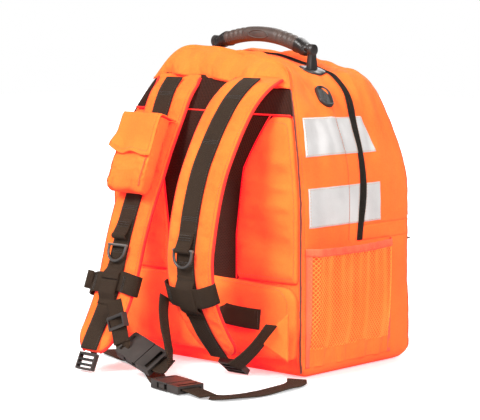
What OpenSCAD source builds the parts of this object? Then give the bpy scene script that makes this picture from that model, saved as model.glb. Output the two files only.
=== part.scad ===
// Hi-vis work rucksack, standing upright with its harness spread in front of it.
// Millimetres. +Z is up, -Y is the side worn against the back, +Y is the front pocket side.
// The origin is the middle of the bag's bottom, on the floor.

/* [Body] */

// Width across the side panels
body_w = 340; // [334:1:346]
// Height of the bag without its carrying handle
body_h = 415; // [412:1:420]
// Depth of the main compartment
body_d = 240; // [236:1:246]
// Thickness of the lined bag cloth
cloth = 3; // [2.6:0.1:3.2]
// Radius of the long side arcs that draw the arch in
side_r = 300; // [296:1:306]
// Radius of the shoulder corners of the arch
shoulder_r = 60; // [56:1:62]
// Radius of the rounded top front edge
front_r = 90; // [84:1:100]
// Fall of the top from the back to its front arc
top_fall = 6; // [4:1:8]
// Radius of the lean at the top of the back panel
back_r = 280; // [276:1:284]
// Drop of the slack right shoulder
sag_d = 12; // [0:1:12]

/* [Opening] */

// Height at which the main zip ends and the lid folds
hinge_z = 168; // [167:0.5:169]
// Distance of the main zip from the back at its lower end
zip_y = 112; // [110:1:114]
// Width of each half of the zip chain
zip_w = 7; // [6:0.5:7.5]

/* [Pockets] */

// Width of the front pocket
pocket_w = 292; // [284:1:296]
// Depth of the front pocket
pocket_d = 21; // [18:1:22]
// Top of the front pocket
pocket_top = 152; // [148:1:154]
// Stand-off of the mesh side pockets
mesh_d = 13; // [12:0.5:14]

/* [Harness] */

// Thickness of the shoulder pads
pad_t = 12; // [11:0.5:12.5]
// Width of the webbing on the straps
web_w = 30; // [28:0.5:31]
// Thickness of the webbing
web_t = 1.8; // [1.6:0.1:2]
// Width of the side release buckles
buckle_w = 38; // [37:0.5:39]

/* [Handle] */

// Distance of the handle from the back
handle_y = 116; // [115:0.5:117]
// Radius of the moulded grip
grip_r = 10; // [9.5:0.1:10.2]
// Angle at which the handle follows the slack shoulder down
handle_tilt = 3.3; // [0:0.1:3.4]

/* [Hidden] */

hw = body_w / 2;
spring_z = body_h - 203;
sag_z = 300;
panel_top = sag_z - 10;
slider_up = 38;
shoulder_z = body_h - shoulder_r;
shoulder_x = hw - side_r + sqrt(pow(side_r - shoulder_r, 2) - pow(shoulder_z - spring_z, 2));
turn_a = atan2(shoulder_z - spring_z, shoulder_x - hw + side_r);
lean_z = body_h - 175;
crown_y = body_d - front_r;
crown_z = body_h - top_fall - front_r;
plan_r = 40;
foot_r = 25;
toe_r = 30;
back_edge_r = 12;
zip_lean = 0.1;
zip_foot = hinge_z + 4;
pad_face = 8;
fine = 96;

orange = [1.0, 0.42, 0.13];
black = [0.13, 0.11, 0.10];
grey = [0.85, 0.84, 0.82];
rubber = [0.22, 0.20, 0.19];

// Harness side paths as [y, z] from the yoke down, and plan paths as [x, z, half width].
right_side = [[36, 377], [22, 373], [2, 363], [-20, 346], [-40, 322], [-58, 295], [-76, 262],
              [-89, 225], [-98, 185], [-102, 148], [-94, 107], [-70, 64], [-42, 30]];
left_side = [[38, 378], [30, 371], [14, 352], [0, 322], [-18, 284], [-35, 245], [-52, 208],
             [-66, 172], [-76, 140], [-88, 103], [-106, 68], [-122, 42], [-131, 26]];
right_plan = [[70, 400, 40], [71, 340, 40], [73, 280, 39], [73, 200, 39], [73, 120, 38],
              [73, 60, 34], [74, 10, 29]];
left_plan = [[-70, 400, 39], [-74, 340, 38], [-76, 280, 37], [-76, 200, 36], [-75, 120, 35],
             [-75, 60, 33], [-75, 5, 29]];

function curve(a, b, c, d, t) = 0.5 * (2 * b + (c - a) * t + (2 * a - 5 * b + 4 * c - d) * t * t
    + (3 * b - a - 3 * c + d) * t * t * t);
function smooth(p, n) = concat(
    [for (i = [0:len(p) - 2]) for (k = [0:n - 1])
        curve(p[max(i - 1, 0)], p[i], p[i + 1], p[min(i + 2, len(p) - 1)], k / n)],
    [p[len(p) - 1]]);
function unit(v) = v / norm(v);
function along(p, i) = unit(p[min(i + 1, len(p) - 1)] - p[max(i - 1, 0)]);
function out(p, i) = [along(p, i)[1], -along(p, i)[0]];
function moved(p, i, d) = p[i] + d * out(p, i);
function first_below(p, z) = [for (i = [0:len(p) - 1]) if (p[i][1] <= z) i][0];
function ease(t) = let (c = min(max(t, 0), 1)) c * c * (3 - 2 * c);
function slack(x, z) = sag_d * ease((x + 40) / 130) * ease((z - sag_z) / 110);
function bend(x, y, r, a0, a1, n) =
    [for (k = [0:n]) [x + r * cos(a0 + (a1 - a0) * k / n), y + r * sin(a0 + (a1 - a0) * k / n)]];
function side_path(s) = smooth(s > 0 ? right_side : left_side, 2);
function plan_path(s) = smooth(s > 0 ? right_plan : left_plan, 2);

module ribbon(p, d0, d1) {
  polygon(concat([for (i = [0:len(p) - 1]) moved(p, i, d0)],
                 [for (i = [len(p) - 1:-1:0]) moved(p, i, d1)]));
}

module across_x(w) {
  translate([-w / 2, 0, 0])
    rotate([90, 0, 90])
      linear_extrude(w)
        children();
}

module across_y(y0, y1) {
  translate([0, y1, 0])
    rotate([90, 0, 0])
      linear_extrude(y1 - y0)
        children();
}

// ---------- bag envelope, inset by i ----------

module arch(i) {
  side = concat([[hw - i, i]], bend(hw - side_r, spring_z, side_r - i, 0, turn_a, 7),
                [for (q = bend(shoulder_x, shoulder_z, shoulder_r - i, turn_a, 90, 5))
                  if (q[1] > spring_z + (side_r - i) * sin(turn_a) + 0.5) q]);
  full = concat(side, [for (x = [40, 20, 0, -20, -40]) [x, body_h - i]],
                [for (k = [len(side) - 1:-1:0]) [-side[k][0], side[k][1]]]);
  polygon([for (q = full) [q[0], q[1] - slack(q[0], q[1])]]);
}

module behind(a) {
  polygon(concat([[-80, -60], [foot_r, -60]], bend(foot_r, foot_r, foot_r - a, 270, 180, 3),
                 bend(back_r, lean_z, back_r - a, 180, 138, 6), [[-80, body_h + 60]]));
}

module profile(i) {
  difference() {
    polygon(concat([[-30, i]], bend(body_d - toe_r, toe_r, toe_r - i, 270, 360, 3),
                   bend(crown_y, crown_z, front_r - i, 0, 90, 8), [[-30, body_h - i]]));
    behind(i);
  }
}

module plan(i) {
  side = concat(bend(hw - back_edge_r, back_edge_r, back_edge_r - i, 270, 360, 2),
                bend(hw - plan_r, body_d - plan_r, plan_r - i, 0, 90, 4));
  polygon(concat(side, [for (k = [len(side) - 1:-1:0]) [-side[k][0], side[k][1]]]));
}

module envelope(i) {
  intersection() {
    across_y(-20, body_d + 20)
      arch(i);
    across_x(body_w + 60)
      profile(i);
    translate([0, 0, -10])
      linear_extrude(body_h + 40)
        plan(i);
  }
}

module skin() {
  difference() {
    envelope(0);
    envelope(cloth);
  }
}

module lid_zone(g, z0) {
  across_x(body_w + 80)
    polygon([[zip_y + g + zip_lean * (z0 - hinge_z), z0],
             [zip_y + g + zip_lean * (500 - hinge_z), 500], [body_d + 60, 500], [body_d + 60, z0]]);
}

module slab_z(z0, z1) {
  translate([-300, -300, z0])
    cube([600, 800, z1 - z0]);
}

module back_cut(a) {
  across_x(body_w + 80)
    behind(a);
}

// ---------- shell ----------

module back_panel() {
  color(orange)
    intersection() {
      envelope(0);
      back_cut(cloth);
      slab_z(cloth + 8, body_h + 10);
    }
}

module rear_skin() {
  difference() {
    skin();
    back_cut(cloth);
    slab_z(-5, cloth + 8);
    lid_zone(-0.3, hinge_z - 0.5);
    translate([-300, body_d - 50, -10])
      cube([600, 200, hinge_z + 10]);
  }
}

module side_panel(s) {
  color(orange)
    mirror([s > 0 ? 1 : 0, 0, 0])
      intersection() {
        rear_skin();
        translate([-260, -100, 0])
          cube([200, 500, panel_top]);
      }
}

module top_panel() {
  color(orange)
    difference() {
      rear_skin();
      slab_z(-20, panel_top);
    }
}

module bottom_panel() {
  color(orange)
    intersection() {
      skin();
      slab_z(-5, cloth + 8);
    }
}

module lower_front_panel() {
  color(orange)
    intersection() {
      skin();
      translate([-300, body_d - 50, cloth + 8])
        cube([600, 200, hinge_z - 0.5 - cloth - 8]);
    }
}

module lid_skin() {
  intersection() {
    skin();
    lid_zone(0.3, hinge_z + 0.5);
  }
}

module lid_front_zone() {
  across_y(body_d - 110, body_d + 20)
    arch(32);
}

module lid_gusset() {
  color(orange)
    difference() {
      lid_skin();
      lid_front_zone();
    }
}

module lid_panel() {
  color(orange)
    intersection() {
      lid_skin();
      lid_front_zone();
    }
}

// ---------- main zip ----------

module chain_band(y0, y1) {
  intersection() {
    difference() {
      envelope(-2.2);
      envelope(0);
    }
    across_x(body_w + 80)
      polygon([for (q = [[y0, zip_foot], [y0, 500], [y1, 500], [y1, zip_foot]])
               [zip_y + q[0] + zip_lean * (q[1] - hinge_z), q[1]]]);
    slab_z(zip_foot, 500);
  }
}

module main_zip_body() {
  color(black)
    chain_band(-zip_w, -0.3);
}

module main_zip_lid() {
  color(black)
    chain_band(0.3, zip_w);
}

module slider_block() {
  difference() {
    union() {
      translate([-5.5, 0, -7])
        cube([11, 3, 14]);
      translate([-3.5, 3, -5])
        cube([7, 4, 9]);
    }
    translate([-10, 5, 0])
      rotate([0, 90, 0])
        cylinder(h = 20, r = 1.3, $fn = 32);
  }
}

module pull_tab() {
  for (s = [-1, 1])
    translate([s * 4.9 - 0.9, -1, -10])
      cube([1.8, 2, 11]);
  translate([-5.8, -1, -34])
    cube([11.6, 2, 24]);
  translate([-5.8, 0, 0])
    rotate([0, 90, 0])
      cylinder(h = 11.6, r = 1, $fn = 32);
}

module at_main_slider() {
  translate([-hw - 2.5, zip_y + 1 + zip_lean * slider_up, hinge_z + slider_up])
    rotate([0, 0, 90])
      children();
}

module main_slider() {
  color(black)
    at_main_slider()
      slider_block();
}

module main_pull() {
  color(black)
    at_main_slider()
      translate([0, 5, 0])
        pull_tab();
}

// ---------- front pocket ----------

module pocket_block(i, extra) {
  w = pocket_w / 2 - i;
  translate([0, 0, 14 + i])
    linear_extrude(pocket_top - 14 - 2 * i) {
      translate([-w + 16 - i, body_d - extra])
        square([2 * (w - 16 + i), pocket_d - i + extra]);
      translate([-w, body_d - extra])
        square([2 * w, pocket_d - 16 + extra]);
      for (s = [-1, 1])
        translate([s * (w - 16 + i), body_d + pocket_d - 16])
          circle(16 - i, $fn = fine);
    }
}

module front_pocket() {
  color(orange)
    difference() {
      pocket_block(0, 30);
      pocket_block(2.5, 40);
      envelope(0);
      translate([-118, body_d + 2.4, pocket_top - 4])
        cube([236, 11.2, 8]);
    }
}

module pocket_zip() {
  color(black) {
    translate([-118, body_d + 2.4, pocket_top - 2.2])
      cube([236, 3.2, 2.2]);
    translate([-118, body_d + 10.4, pocket_top - 2.2])
      cube([236, 3.2, 2.2]);
  }
}

module at_pocket_slider() {
  translate([110, body_d + 8, pocket_top + 0.3])
    rotate([90, 0, -90])
      children();
}

module pocket_slider() {
  color(black)
    at_pocket_slider()
      slider_block();
}

module pocket_pull() {
  color(black)
    at_pocket_slider()
      translate([0, 5, 0])
        pull_tab();
}

// ---------- back padding ----------

module back_layer(t) {
  difference() {
    back_cut(0);
    back_cut(-t);
  }
}

module mesh_outline(g) {
  polygon([[-60 - g, 116], [-60 - g, 178], [-72 - g, 265], [-105 - g, 333], [-200, 333],
           [-200, 374], [200, 374], [200, 333], [105 + g, 333], [72 + g, 265], [60 + g, 178],
           [60 + g, 116]]);
}

module back_pad(s) {
  color(orange)
    difference() {
      intersection() {
        back_layer(11);
        across_y(-40, 80)
          intersection() {
            arch(6);
            difference() {
              translate([s > 0 ? 0 : -200, 120])
                square([200, 212]);
              mesh_outline(1);
            }
          }
      }
      translate([-76, 0, 0])
        across_x(84)
          ribbon(side_path(-1), -pad_t / 2 - 0.8, pad_t / 2 + 0.8);
    }
}

module mesh_panel() {
  color(black)
    intersection() {
      back_layer(2.5);
      across_y(-40, 80)
        intersection() {
          arch(2);
          mesh_outline(0);
          translate([-200, 120])
            square([400, 253]);
        }
    }
}

module yoke() {
  color(orange)
    intersection() {
      back_layer(4);
      across_y(-40, 80)
        intersection() {
          arch(0);
          translate([-200, 374])
            square([400, 60]);
        }
    }
}

module lumbar_block(t) {
  intersection() {
    across_y(-t, 0) {
      translate([-hw + 4 + 40, 20])
        square([2 * (hw - 44), 99]);
      translate([-hw + 4, 60])
        square([2 * (hw - 4), 59]);
      for (s = [-1, 1])
        translate([s * (hw - 44), 60])
          circle(40, $fn = fine);
    }
    across_x(body_w) {
      translate([-t, 34])
        square([t, 75]);
      translate([-t + 10, 20])
        square([t, 99]);
      translate([-t + 14, 34])
        circle(14, $fn = fine);
      translate([-t + 10, 109])
        circle(10, $fn = fine);
    }
  }
}

module lumbar_pad() {
  color(orange)
    lumbar_block(16);
}

module lumbar_loop() {
  color(black)
    translate([76, -16, 76])
      rotate([0, 3, 0]) {
        translate([-36, -3.6, -13])
          cube([72, 1.8, 26]);
        translate([-36, -1.8, -13])
          cube([10, 1.8, 26]);
        translate([26, -1.8, -13])
          cube([10, 1.8, 26]);
      }
}

// ---------- side pockets ----------

module mesh_shell(i, z0, z1) {
  translate([hw - 10, 0, z0])
    linear_extrude(z1 - z0) {
      translate([0, 6 + i])
        square([10 + mesh_d - 12, 172 - 2 * i]);
      translate([0, 18])
        square([10 + mesh_d - i, 148]);
      for (y = [18, 166])
        translate([10 + mesh_d - 12, y])
          circle(12 - i, $fn = fine);
    }
}

module side_pocket(s) {
  color(orange)
    mirror([s > 0 ? 0 : 1, 0, 0])
      difference() {
        mesh_shell(0, 20, 158);
        mesh_shell(1.6, 22, 170);
        translate([hw - 40, -10, 0])
          cube([40, 300, 300]);
      }
}

module pocket_bindings() {
  color(orange)
    for (s = [0, 1])
      mirror([s, 0, 0])
        difference() {
          mesh_shell(-1, 158, 167);
          mesh_shell(2, 150, 170);
          translate([hw - 40, -10, 0])
            cube([40, 300, 300]);
        }
}

// ---------- reflective tape ----------

module tape_ring() {
  intersection() {
    difference() {
      envelope(-0.6);
      envelope(0);
    }
    union() {
      slab_z(192, 242);
      slab_z(281, 331);
    }
    translate([-300, 14, 0])
      cube([600, 182, 500]);
  }
}

module tape_body() {
  color(grey)
    difference() {
      tape_ring();
      lid_zone(-zip_w - 0.5, 100);
      back_cut(6);
    }
}

module tape_lid() {
  color(grey) {
    intersection() {
      tape_ring();
      lid_zone(zip_w + 0.5, 180);
      translate([-300, 0, 0])
        cube([600, 168, 500]);
    }
    intersection() {
      difference() {
        envelope(-0.6);
        envelope(0);
      }
      translate([-118, body_d - 20, 192])
        cube([236, 40, 50]);
    }
  }
}

// ---------- cable port ----------

module oval(w, h, t) {
  linear_extrude(t) {
    translate([-w / 2, -(h - w) / 2])
      square([w, h - w]);
    for (s = [-1, 1])
      translate([0, s * (h - w) / 2])
        circle(w / 2, $fn = fine);
  }
}

module cable_port() {
  port_z = 364;
  port_a = asin((port_z - spring_z) / side_r);
  port_x = hw - side_r + side_r * cos(port_a);
  color(rubber)
    translate([port_x, 90, port_z - slack(port_x, port_z)])
      rotate([0, 85 - port_a, 0])
        rotate([0, 0, 115])
          difference() {
            translate([0, 0, 0.1])
              oval(26, 40, 3);
            translate([0, 0, 1.6])
              oval(19, 33, 4);
            translate([-0.6, -11, -6])
              cube([1.2, 22, 12]);
          }
}

// ---------- carrying handle ----------

grip_x = 76;
base_x = 85.5;
pivot_z = body_h + 7;
rise = 15;
grip_arc = (grip_x * grip_x + rise * rise) / (2 * rise);
grip_a = asin(grip_x / grip_arc);

module at_handle() {
  translate([-base_x, 0, pivot_z])
    rotate([0, handle_tilt, 0])
      translate([base_x, 0, -pivot_z])
        children();
}

module grip_bend(r, a0, a1) {
  translate([0, handle_y, pivot_z + rise - grip_arc])
    rotate([90, 0, 0])
      rotate([0, 0, a0])
        rotate_extrude(angle = a1 - a0, $fn = fine)
          translate([grip_arc, 0])
            circle(r, $fn = 48);
}

module handle_grip() {
  color(rubber)
    at_handle()
      difference() {
        grip_bend(grip_r, 90 - grip_a + 5, 90 + grip_a - 5);
        for (s = [-1, 1])
          for (x = [30, 39, 48, 57])
            translate([s * x, handle_y, pivot_z + rise + grip_r + 2.4 - 0.0031 * x * x])
              rotate([90, 0, 0])
                cylinder(h = 40, r = 3.4, center = true, $fn = 32);
      }
}

module handle_caps() {
  color(black)
    at_handle()
      for (s = [-1, 1]) {
        a0 = s > 0 ? 90 - grip_a : 90 + grip_a - 4.9;
        grip_bend(grip_r + 0.5, a0, a0 + 4.9);
        translate([s * grip_x, handle_y, pivot_z])
          rotate([0, s * 90, 0])
            cylinder(h = 12, r = 3, $fn = 32);
      }
}

module handle_bases() {
  color(black)
    for (s = [-1, 1])
      difference() {
        at_handle() {
          translate([s * 88, handle_y, pivot_z - 24])
            rotate([0, 0, 90])
              oval(23, 27, 14);
          translate([s * base_x, handle_y, pivot_z])
            rotate([0, 90, 0])
              cylinder(h = 8, r = 8, center = true, $fn = 48);
          translate([s * base_x - 4, handle_y - 8, pivot_z - 16])
            cube([8, 16, 16]);
        }
        envelope(0);
        at_handle()
          translate([s * base_x, handle_y, pivot_z])
            rotate([0, 90, 0])
              cylinder(h = 20, r = 3.3, center = true, $fn = 32);
      }
}

// ---------- shoulder straps ----------

module plan_band(s, grow) {
  p = plan_path(s);
  across_y(-200, 120)
    polygon(concat([for (q = p) [q[0] - q[2] - grow, q[1]]],
                   [for (i = [len(p) - 1:-1:0]) [p[i][0] + p[i][2] + grow, p[i][1]]]));
}

module shoulder_pad(s) {
  color(orange)
    difference() {
      intersection() {
        across_x(600)
          ribbon(side_path(s), -pad_t / 2, pad_t / 2);
        plan_band(s, 0);
      }
      across_x(600)
        difference() {
          translate([-60, 300])
            square([300, 200]);
          behind(-4.2);
        }
      across_x(600)
        translate([-5, 376])
          square([100, 60]);
    }
}

module strap_webbing(s) {
  x0 = s > 0 ? 72 : -76;
  color(black)
    difference() {
      intersection() {
        across_x(600)
          ribbon(side_path(s), pad_t / 2 + 0.1, pad_t / 2 + 0.1 + web_t);
        translate([x0 - web_w / 2, -300, 0])
          cube([web_w, 600, 372]);
      }
      across_x(600)
        difference() {
          translate([-60, 300])
            square([300, 200]);
          behind(-4.2);
        }
    }
}

module on_strap(s, z, d) {
  p = side_path(s);
  i = first_below(p, z);
  t = along(p, i);
  q = moved(p, i, d);
  translate([s > 0 ? 72 : -76, q[0], q[1]])
    rotate([atan2(t[0], -t[1]), 0, 0])
      children();
}

ring_z = 168;

module ring_loops() {
  color(black)
    for (s = [-1, 1])
      on_strap(s, ring_z, pad_face + 4.6)
        difference() {
          translate([-12.5, -4, -4])
            cube([25, 8, 22]);
          rotate([0, 90, 0])
            cylinder(h = 60, r = 2.3, center = true, $fn = 32);
        }
}

module d_ring(s) {
  color(rubber)
    on_strap(s, ring_z, pad_face + 4.6) {
      rotate([0, 90, 0])
        cylinder(h = 34, r = 1.8, center = true, $fn = 32);
      for (k = [-1, 1])
        translate([k * 15.2, 0, -6])
          cylinder(h = 6, r = 1.8, $fn = 32);
      translate([0, 0, -6])
        rotate([90, 0, 0])
          rotate([0, 0, 180])
            rotate_extrude(angle = 180, $fn = fine)
              translate([15.2, 0])
                circle(1.8, $fn = 32);
    }
}

module cross_bands() {
  color(black)
    for (s = [-1, 1])
      on_strap(s, s > 0 ? 112 : 108, 0)
        difference() {
          translate([-43, -11.5, -14])
            cube([86, 23, 28]);
          translate([-41, -9.5, -20])
            cube([82, 19, 40]);
        }
}

// ---------- lower adjusters ----------

module ladder_frame() {
  difference() {
    translate([-19, -4, -26])
      cube([38, 8, 28]);
    translate([-16, -6, -7.5])
      cube([32, 12, 5.5]);
    translate([-16, -6, -16])
      cube([32, 12, 5]);
    translate([-16, -6, -23])
      cube([32, 12, 4]);
  }
}

module at_ladder(s) {
  if (s > 0)
    translate([78, -40, 22])
      rotate([52, 0, 0])
        children();
  else
    translate([-76, -134, 25])
      rotate([-25, 0, 0])
        children();
}

module ladder_lock(s) {
  color(black)
    at_ladder(s)
      translate([0, 0, s > 0 ? -6 : -3])
        scale(s > 0 ? 0.9 : 0.8)
          ladder_frame();
}

module aim(a, b, roll) {
  d = b - a;
  translate(a)
    rotate([0, atan2(-d[2], norm([d[0], d[1]])), atan2(d[1], d[0])])
      rotate([roll, 0, 0])
        children();
}

module flat_strip(a, b, w, roll) {
  aim(a, b, roll)
    translate([0, -w / 2, -web_t / 2])
      cube([norm(b - a), w, web_t]);
}

module anchor_wing(s) {
  mirror([s > 0 ? 0 : 1, 0, 0])
    translate([hw - 6, -19.4, 26])
      rotate([0, 0, 204])
        rotate([90, 0, 0])
          linear_extrude(3)
            polygon([[0, 0], [0, 62], [38, 26]]);
}

module anchor_wings() {
  color(orange) {
    anchor_wing(1);
    anchor_wing(-1);
  }
}

module lower_webbing(s) {
  color(black)
    if (s > 0)
      flat_strip([149, -38, 66], [102, -53, 17], 25, 70);
    else
      flat_strip([-150, -36, 64], [-100, -111, 26], 25, -60);
}

// ---------- side release buckles, along +X, lying flat ----------

module buckle_socket() {
  h = buckle_w / 2;
  difference() {
    union() {
      translate([-31, -h + 3, -5.5])
        cube([37, 2 * h - 6, 11]);
      translate([-28, -h, -5.5])
        cube([34, 2 * h, 11]);
      for (k = [-1, 1])
        translate([-28, k * (h - 3), -5.5])
          cylinder(h = 11, r = 3, $fn = 48);
    }
    translate([-20, -15.4, -3.4])
      cube([30, 30.8, 6.8]);
    translate([-15, -h - 1, -3.4])
      cube([25, 2 * h + 2, 6.8]);
    translate([-28.5, -13.5, -8])
      cube([4.5, 27, 16]);
  }
}

module buckle_plug() {
  h = buckle_w / 2;
  difference() {
    translate([7, -h, -5])
      cube([24, 2 * h, 10]);
    translate([5, -15, -1.5])
      cube([30, 30, 3]);
    translate([13, -15, -8])
      cube([4.5, 30, 9]);
    translate([21, -15, -1])
      cube([5, 30, 9]);
  }
  translate([-17, -5, 1.5])
    cube([24.5, 10, 1.6]);
}

module buckle_arm(k) {
  translate([-17, k > 0 ? 13.1 : -15, -2.8])
    cube([23.4, 1.9, 5.6]);
  translate([-12, k > 0 ? 14.9 : -18.6, -2.8])
    cube([12, 3.7, 5.6]);
}

module at_sternum() {
  translate([6, -120, 31])
    rotate([0, 18, 0])
      rotate([35, 0, 0])
        children();
}

module at_waist() {
  translate([92, -146, 6.5])
    rotate([0, 0, -12])
      children();
}

sternum_a = [-40, -124.7, 91];
sternum_b = [-23, -129.2, 46];

module sternum_webbing(s) {
  color(black)
    if (s < 0)
      flat_strip(sternum_a, sternum_b, 25, 80);
    else {
      at_sternum()
        translate([16, -12.5, -web_t / 2])
          cube([42, 25, web_t]);
      flat_strip([60, -122, 18], [38, -112, 90], 25, 80);
    }
}

module tri_glide() {
  color(black)
    aim(sternum_a, sternum_b, 80)
      translate([24, 0, 0]) {
        for (k = [-1, 1])
          translate([-9, k * 15 - 1.5, -4])
            cube([18, 3, 8]);
        for (x = [-9, 5])
          translate([x, -14, 1.4])
            cube([4, 28, 2.6]);
        translate([-2, -14, -4])
          cube([4, 28, 2.6]);
      }
}

module belt_run(p, w, z) {
  translate([0, 0, z])
    linear_extrude(web_t)
      ribbon(smooth(p, 4), -w / 2, w / 2);
}

module waist_webbing() {
  color(black) {
    belt_run([[-158, -20], [-138, -36], [-98, -46], [-50, -62], [0, -94], [32, -120],
              [57, -137.5]], 25, 1);
    at_waist()
      translate([16, -12.5, -web_t / 2])
        cube([52, 25, web_t]);
    belt_run([[160, -158], [176, -146], [186, -112], [189, -66], [183, -28], [168, -8]], 25, 1);
    translate([150, -172, 1])
      cube([10, 25, 5]);
  }
}

// ---------- phone pouch on the left strap ----------

module at_pouch() {
  on_strap(-1, 272, pad_face + 1.4)
    children();
}

module phone_pouch() {
  color(orange)
    at_pouch()
      difference() {
        translate([-34, -28, -57])
          cube([68, 28, 106]);
        translate([-32, -26, -55])
          cube([64, 24, 120]);
      }
}

module phone_flap() {
  color(orange)
    at_pouch() {
      translate([-36, -31, 50])
        cube([72, 31, 2]);
      translate([-36, -31, -4])
        cube([72, 2, 55]);
    }
}

module sternum_female() {
  color(black)
    at_sternum()
      buckle_socket();
}

module sternum_male() {
  color(black)
    at_sternum()
      buckle_plug();
}

module sternum_arm(k) {
  color(black)
    at_sternum()
      buckle_arm(k);
}

module waist_female() {
  color(black)
    at_waist()
      buckle_socket();
}

module waist_male() {
  color(black)
    at_waist()
      buckle_plug();
}

module waist_arm(k) {
  color(black)
    at_waist()
      buckle_arm(k);
}

module placed() {
  translate([0, -body_d / 2, 0])
    children();
}

placed() back_panel();
placed() side_panel(-1);  // side_panel_left
placed() side_panel(1);  // side_panel_right
placed() top_panel();
placed() bottom_panel();
placed() lower_front_panel();
placed() lid_gusset();
placed() lid_panel();
placed() front_pocket();
placed() pocket_zip();
placed() main_zip_body();
placed() main_zip_lid();
placed() main_slider();
placed() main_pull();
placed() pocket_slider();
placed() pocket_pull();
placed() back_pad(-1);  // back_pad_left
placed() back_pad(1);  // back_pad_right
placed() mesh_panel();
placed() yoke();
placed() lumbar_pad();
placed() lumbar_loop();
placed() side_pocket(-1);  // side_pocket_left
placed() side_pocket(1);  // side_pocket_right
placed() pocket_bindings();
placed() tape_body();
placed() tape_lid();
placed() cable_port();
placed() handle_grip();
placed() handle_caps();
placed() handle_bases();
placed() shoulder_pad(-1);  // shoulder_pad_left
placed() shoulder_pad(1);  // shoulder_pad_right
placed() strap_webbing(-1);  // strap_webbing_left
placed() strap_webbing(1);  // strap_webbing_right
placed() ring_loops();
placed() d_ring(-1);  // d_ring_left
placed() d_ring(1);  // d_ring_right
placed() cross_bands();
placed() ladder_lock(-1);  // ladder_lock_left
placed() ladder_lock(1);  // ladder_lock_right
placed() lower_webbing(-1);  // lower_webbing_left
placed() lower_webbing(1);  // lower_webbing_right
placed() anchor_wings();
placed() sternum_webbing(-1);  // sternum_webbing_left
placed() sternum_webbing(1);  // sternum_webbing_right
placed() tri_glide();
placed() sternum_female();
placed() sternum_male();
placed() sternum_arm(1);  // sternum_arm_upper
placed() sternum_arm(-1);  // sternum_arm_lower
placed() waist_webbing();
placed() waist_female();
placed() waist_male();
placed() waist_arm(-1);  // waist_arm_front
placed() waist_arm(1);  // waist_arm_rear
placed() phone_pouch();
placed() phone_flap();
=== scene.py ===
"""Looks of a hi-vis work rucksack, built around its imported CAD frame.

Lengths are in millimetres and y is measured from the back panel, until new_mesh() makes a
mesh in the frame of the CAD model, in metres. Materials are in metres too.
+X is the side with the cable port, -Y the harness, +Y the front pocket.
"""

import math

import bpy
import numpy as np
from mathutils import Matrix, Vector, noise
from mathutils.bvhtree import BVHTree


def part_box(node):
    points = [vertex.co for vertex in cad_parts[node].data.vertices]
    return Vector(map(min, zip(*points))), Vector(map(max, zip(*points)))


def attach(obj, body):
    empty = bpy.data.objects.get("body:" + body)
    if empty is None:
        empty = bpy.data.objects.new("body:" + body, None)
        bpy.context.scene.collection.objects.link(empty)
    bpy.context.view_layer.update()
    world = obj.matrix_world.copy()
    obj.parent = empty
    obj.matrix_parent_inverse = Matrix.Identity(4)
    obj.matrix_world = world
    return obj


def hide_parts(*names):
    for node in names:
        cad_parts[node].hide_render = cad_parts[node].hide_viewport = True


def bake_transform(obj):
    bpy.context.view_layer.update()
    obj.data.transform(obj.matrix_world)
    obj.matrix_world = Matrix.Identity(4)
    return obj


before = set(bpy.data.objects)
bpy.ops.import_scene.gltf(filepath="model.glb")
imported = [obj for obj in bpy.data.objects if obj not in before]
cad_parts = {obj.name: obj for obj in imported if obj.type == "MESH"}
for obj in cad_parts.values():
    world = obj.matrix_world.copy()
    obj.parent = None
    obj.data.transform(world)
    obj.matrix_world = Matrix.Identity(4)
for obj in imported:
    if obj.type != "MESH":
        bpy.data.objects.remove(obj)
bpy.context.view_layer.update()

# ---------------------------------------------------------------- sizes from the frame

MM = 0.001
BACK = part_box("back_panel")[0].y / MM
TOP = 415.0


def box_mm(node):
    """Lowest and highest corner of a CAD node in this script's millimetres."""
    low, high = (np.array(c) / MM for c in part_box(node))
    return low - (0, BACK, 0), high - (0, BACK, 0)


HALF_W = box_mm("lower_front_panel")[1][0]
DEPTH = box_mm("lower_front_panel")[1][1]
HINGE_Z = 168.0
FOLD_Z = 188.0
ZIP_Y = 112.0
ZIP_LEAN = 0.1
CENTRE = np.array([0.0, 190.0])  # (x, z) that the rings of the front and back close in on

# ---------------------------------------------------------------- small maths


def ease(x):
    """Smooth step from 0 to 1 as x goes from 0 to 1."""
    x = np.clip(x, 0, 1)
    return x * x * (3 - 2 * x)


def unit(v):
    """Vectors scaled to length 1."""
    v = np.asarray(v, float)
    return v / np.maximum(np.linalg.norm(v, axis=-1, keepdims=True), 1e-9)


def smooth(points, n):
    """Catmull-Rom line through the points, with n steps between each two."""
    p = np.asarray(points, float)
    p = np.vstack([2 * p[0] - p[1], p, 2 * p[-1] - p[-2]])
    out = []
    for i in range(1, len(p) - 2):
        for k in range(n):
            t = k / n
            out.append(0.5 * (2 * p[i] + (p[i + 1] - p[i - 1]) * t
                              + (2 * p[i - 1] - 5 * p[i] + 4 * p[i + 1] - p[i + 2]) * t ** 2
                              + (3 * p[i] - p[i - 1] - 3 * p[i + 1] + p[i + 2]) * t ** 3))
    out.append(p[-2])
    return np.array(out)


def lengths(p):
    """Distance along a line of points, from 0 at its start."""
    return np.concatenate([[0], np.cumsum(np.linalg.norm(np.diff(p, axis=0), axis=1))])


def resample(p, n):
    """n points at even spacing along a line of points."""
    p = np.asarray(p, float)
    s = lengths(p)
    t = np.linspace(0, s[-1], n)
    return np.stack([np.interp(t, s, p[:, k]) for k in range(p.shape[1])], 1)


def tangents(p):
    """Unit directions along a line of points."""
    d = np.gradient(p, axis=0)
    return unit(d)


def rough(p, size, seed=0.0):
    """Smooth noise from -1 to 1 at points p, with lumps of about the given size."""
    q = np.asarray(p, float).reshape(-1, 3) / size + seed
    v = np.array([noise.noise(Vector(c)) for c in q])
    return np.clip(v.reshape(np.shape(p)[:-1]) * 1.6, -1, 1)


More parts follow.
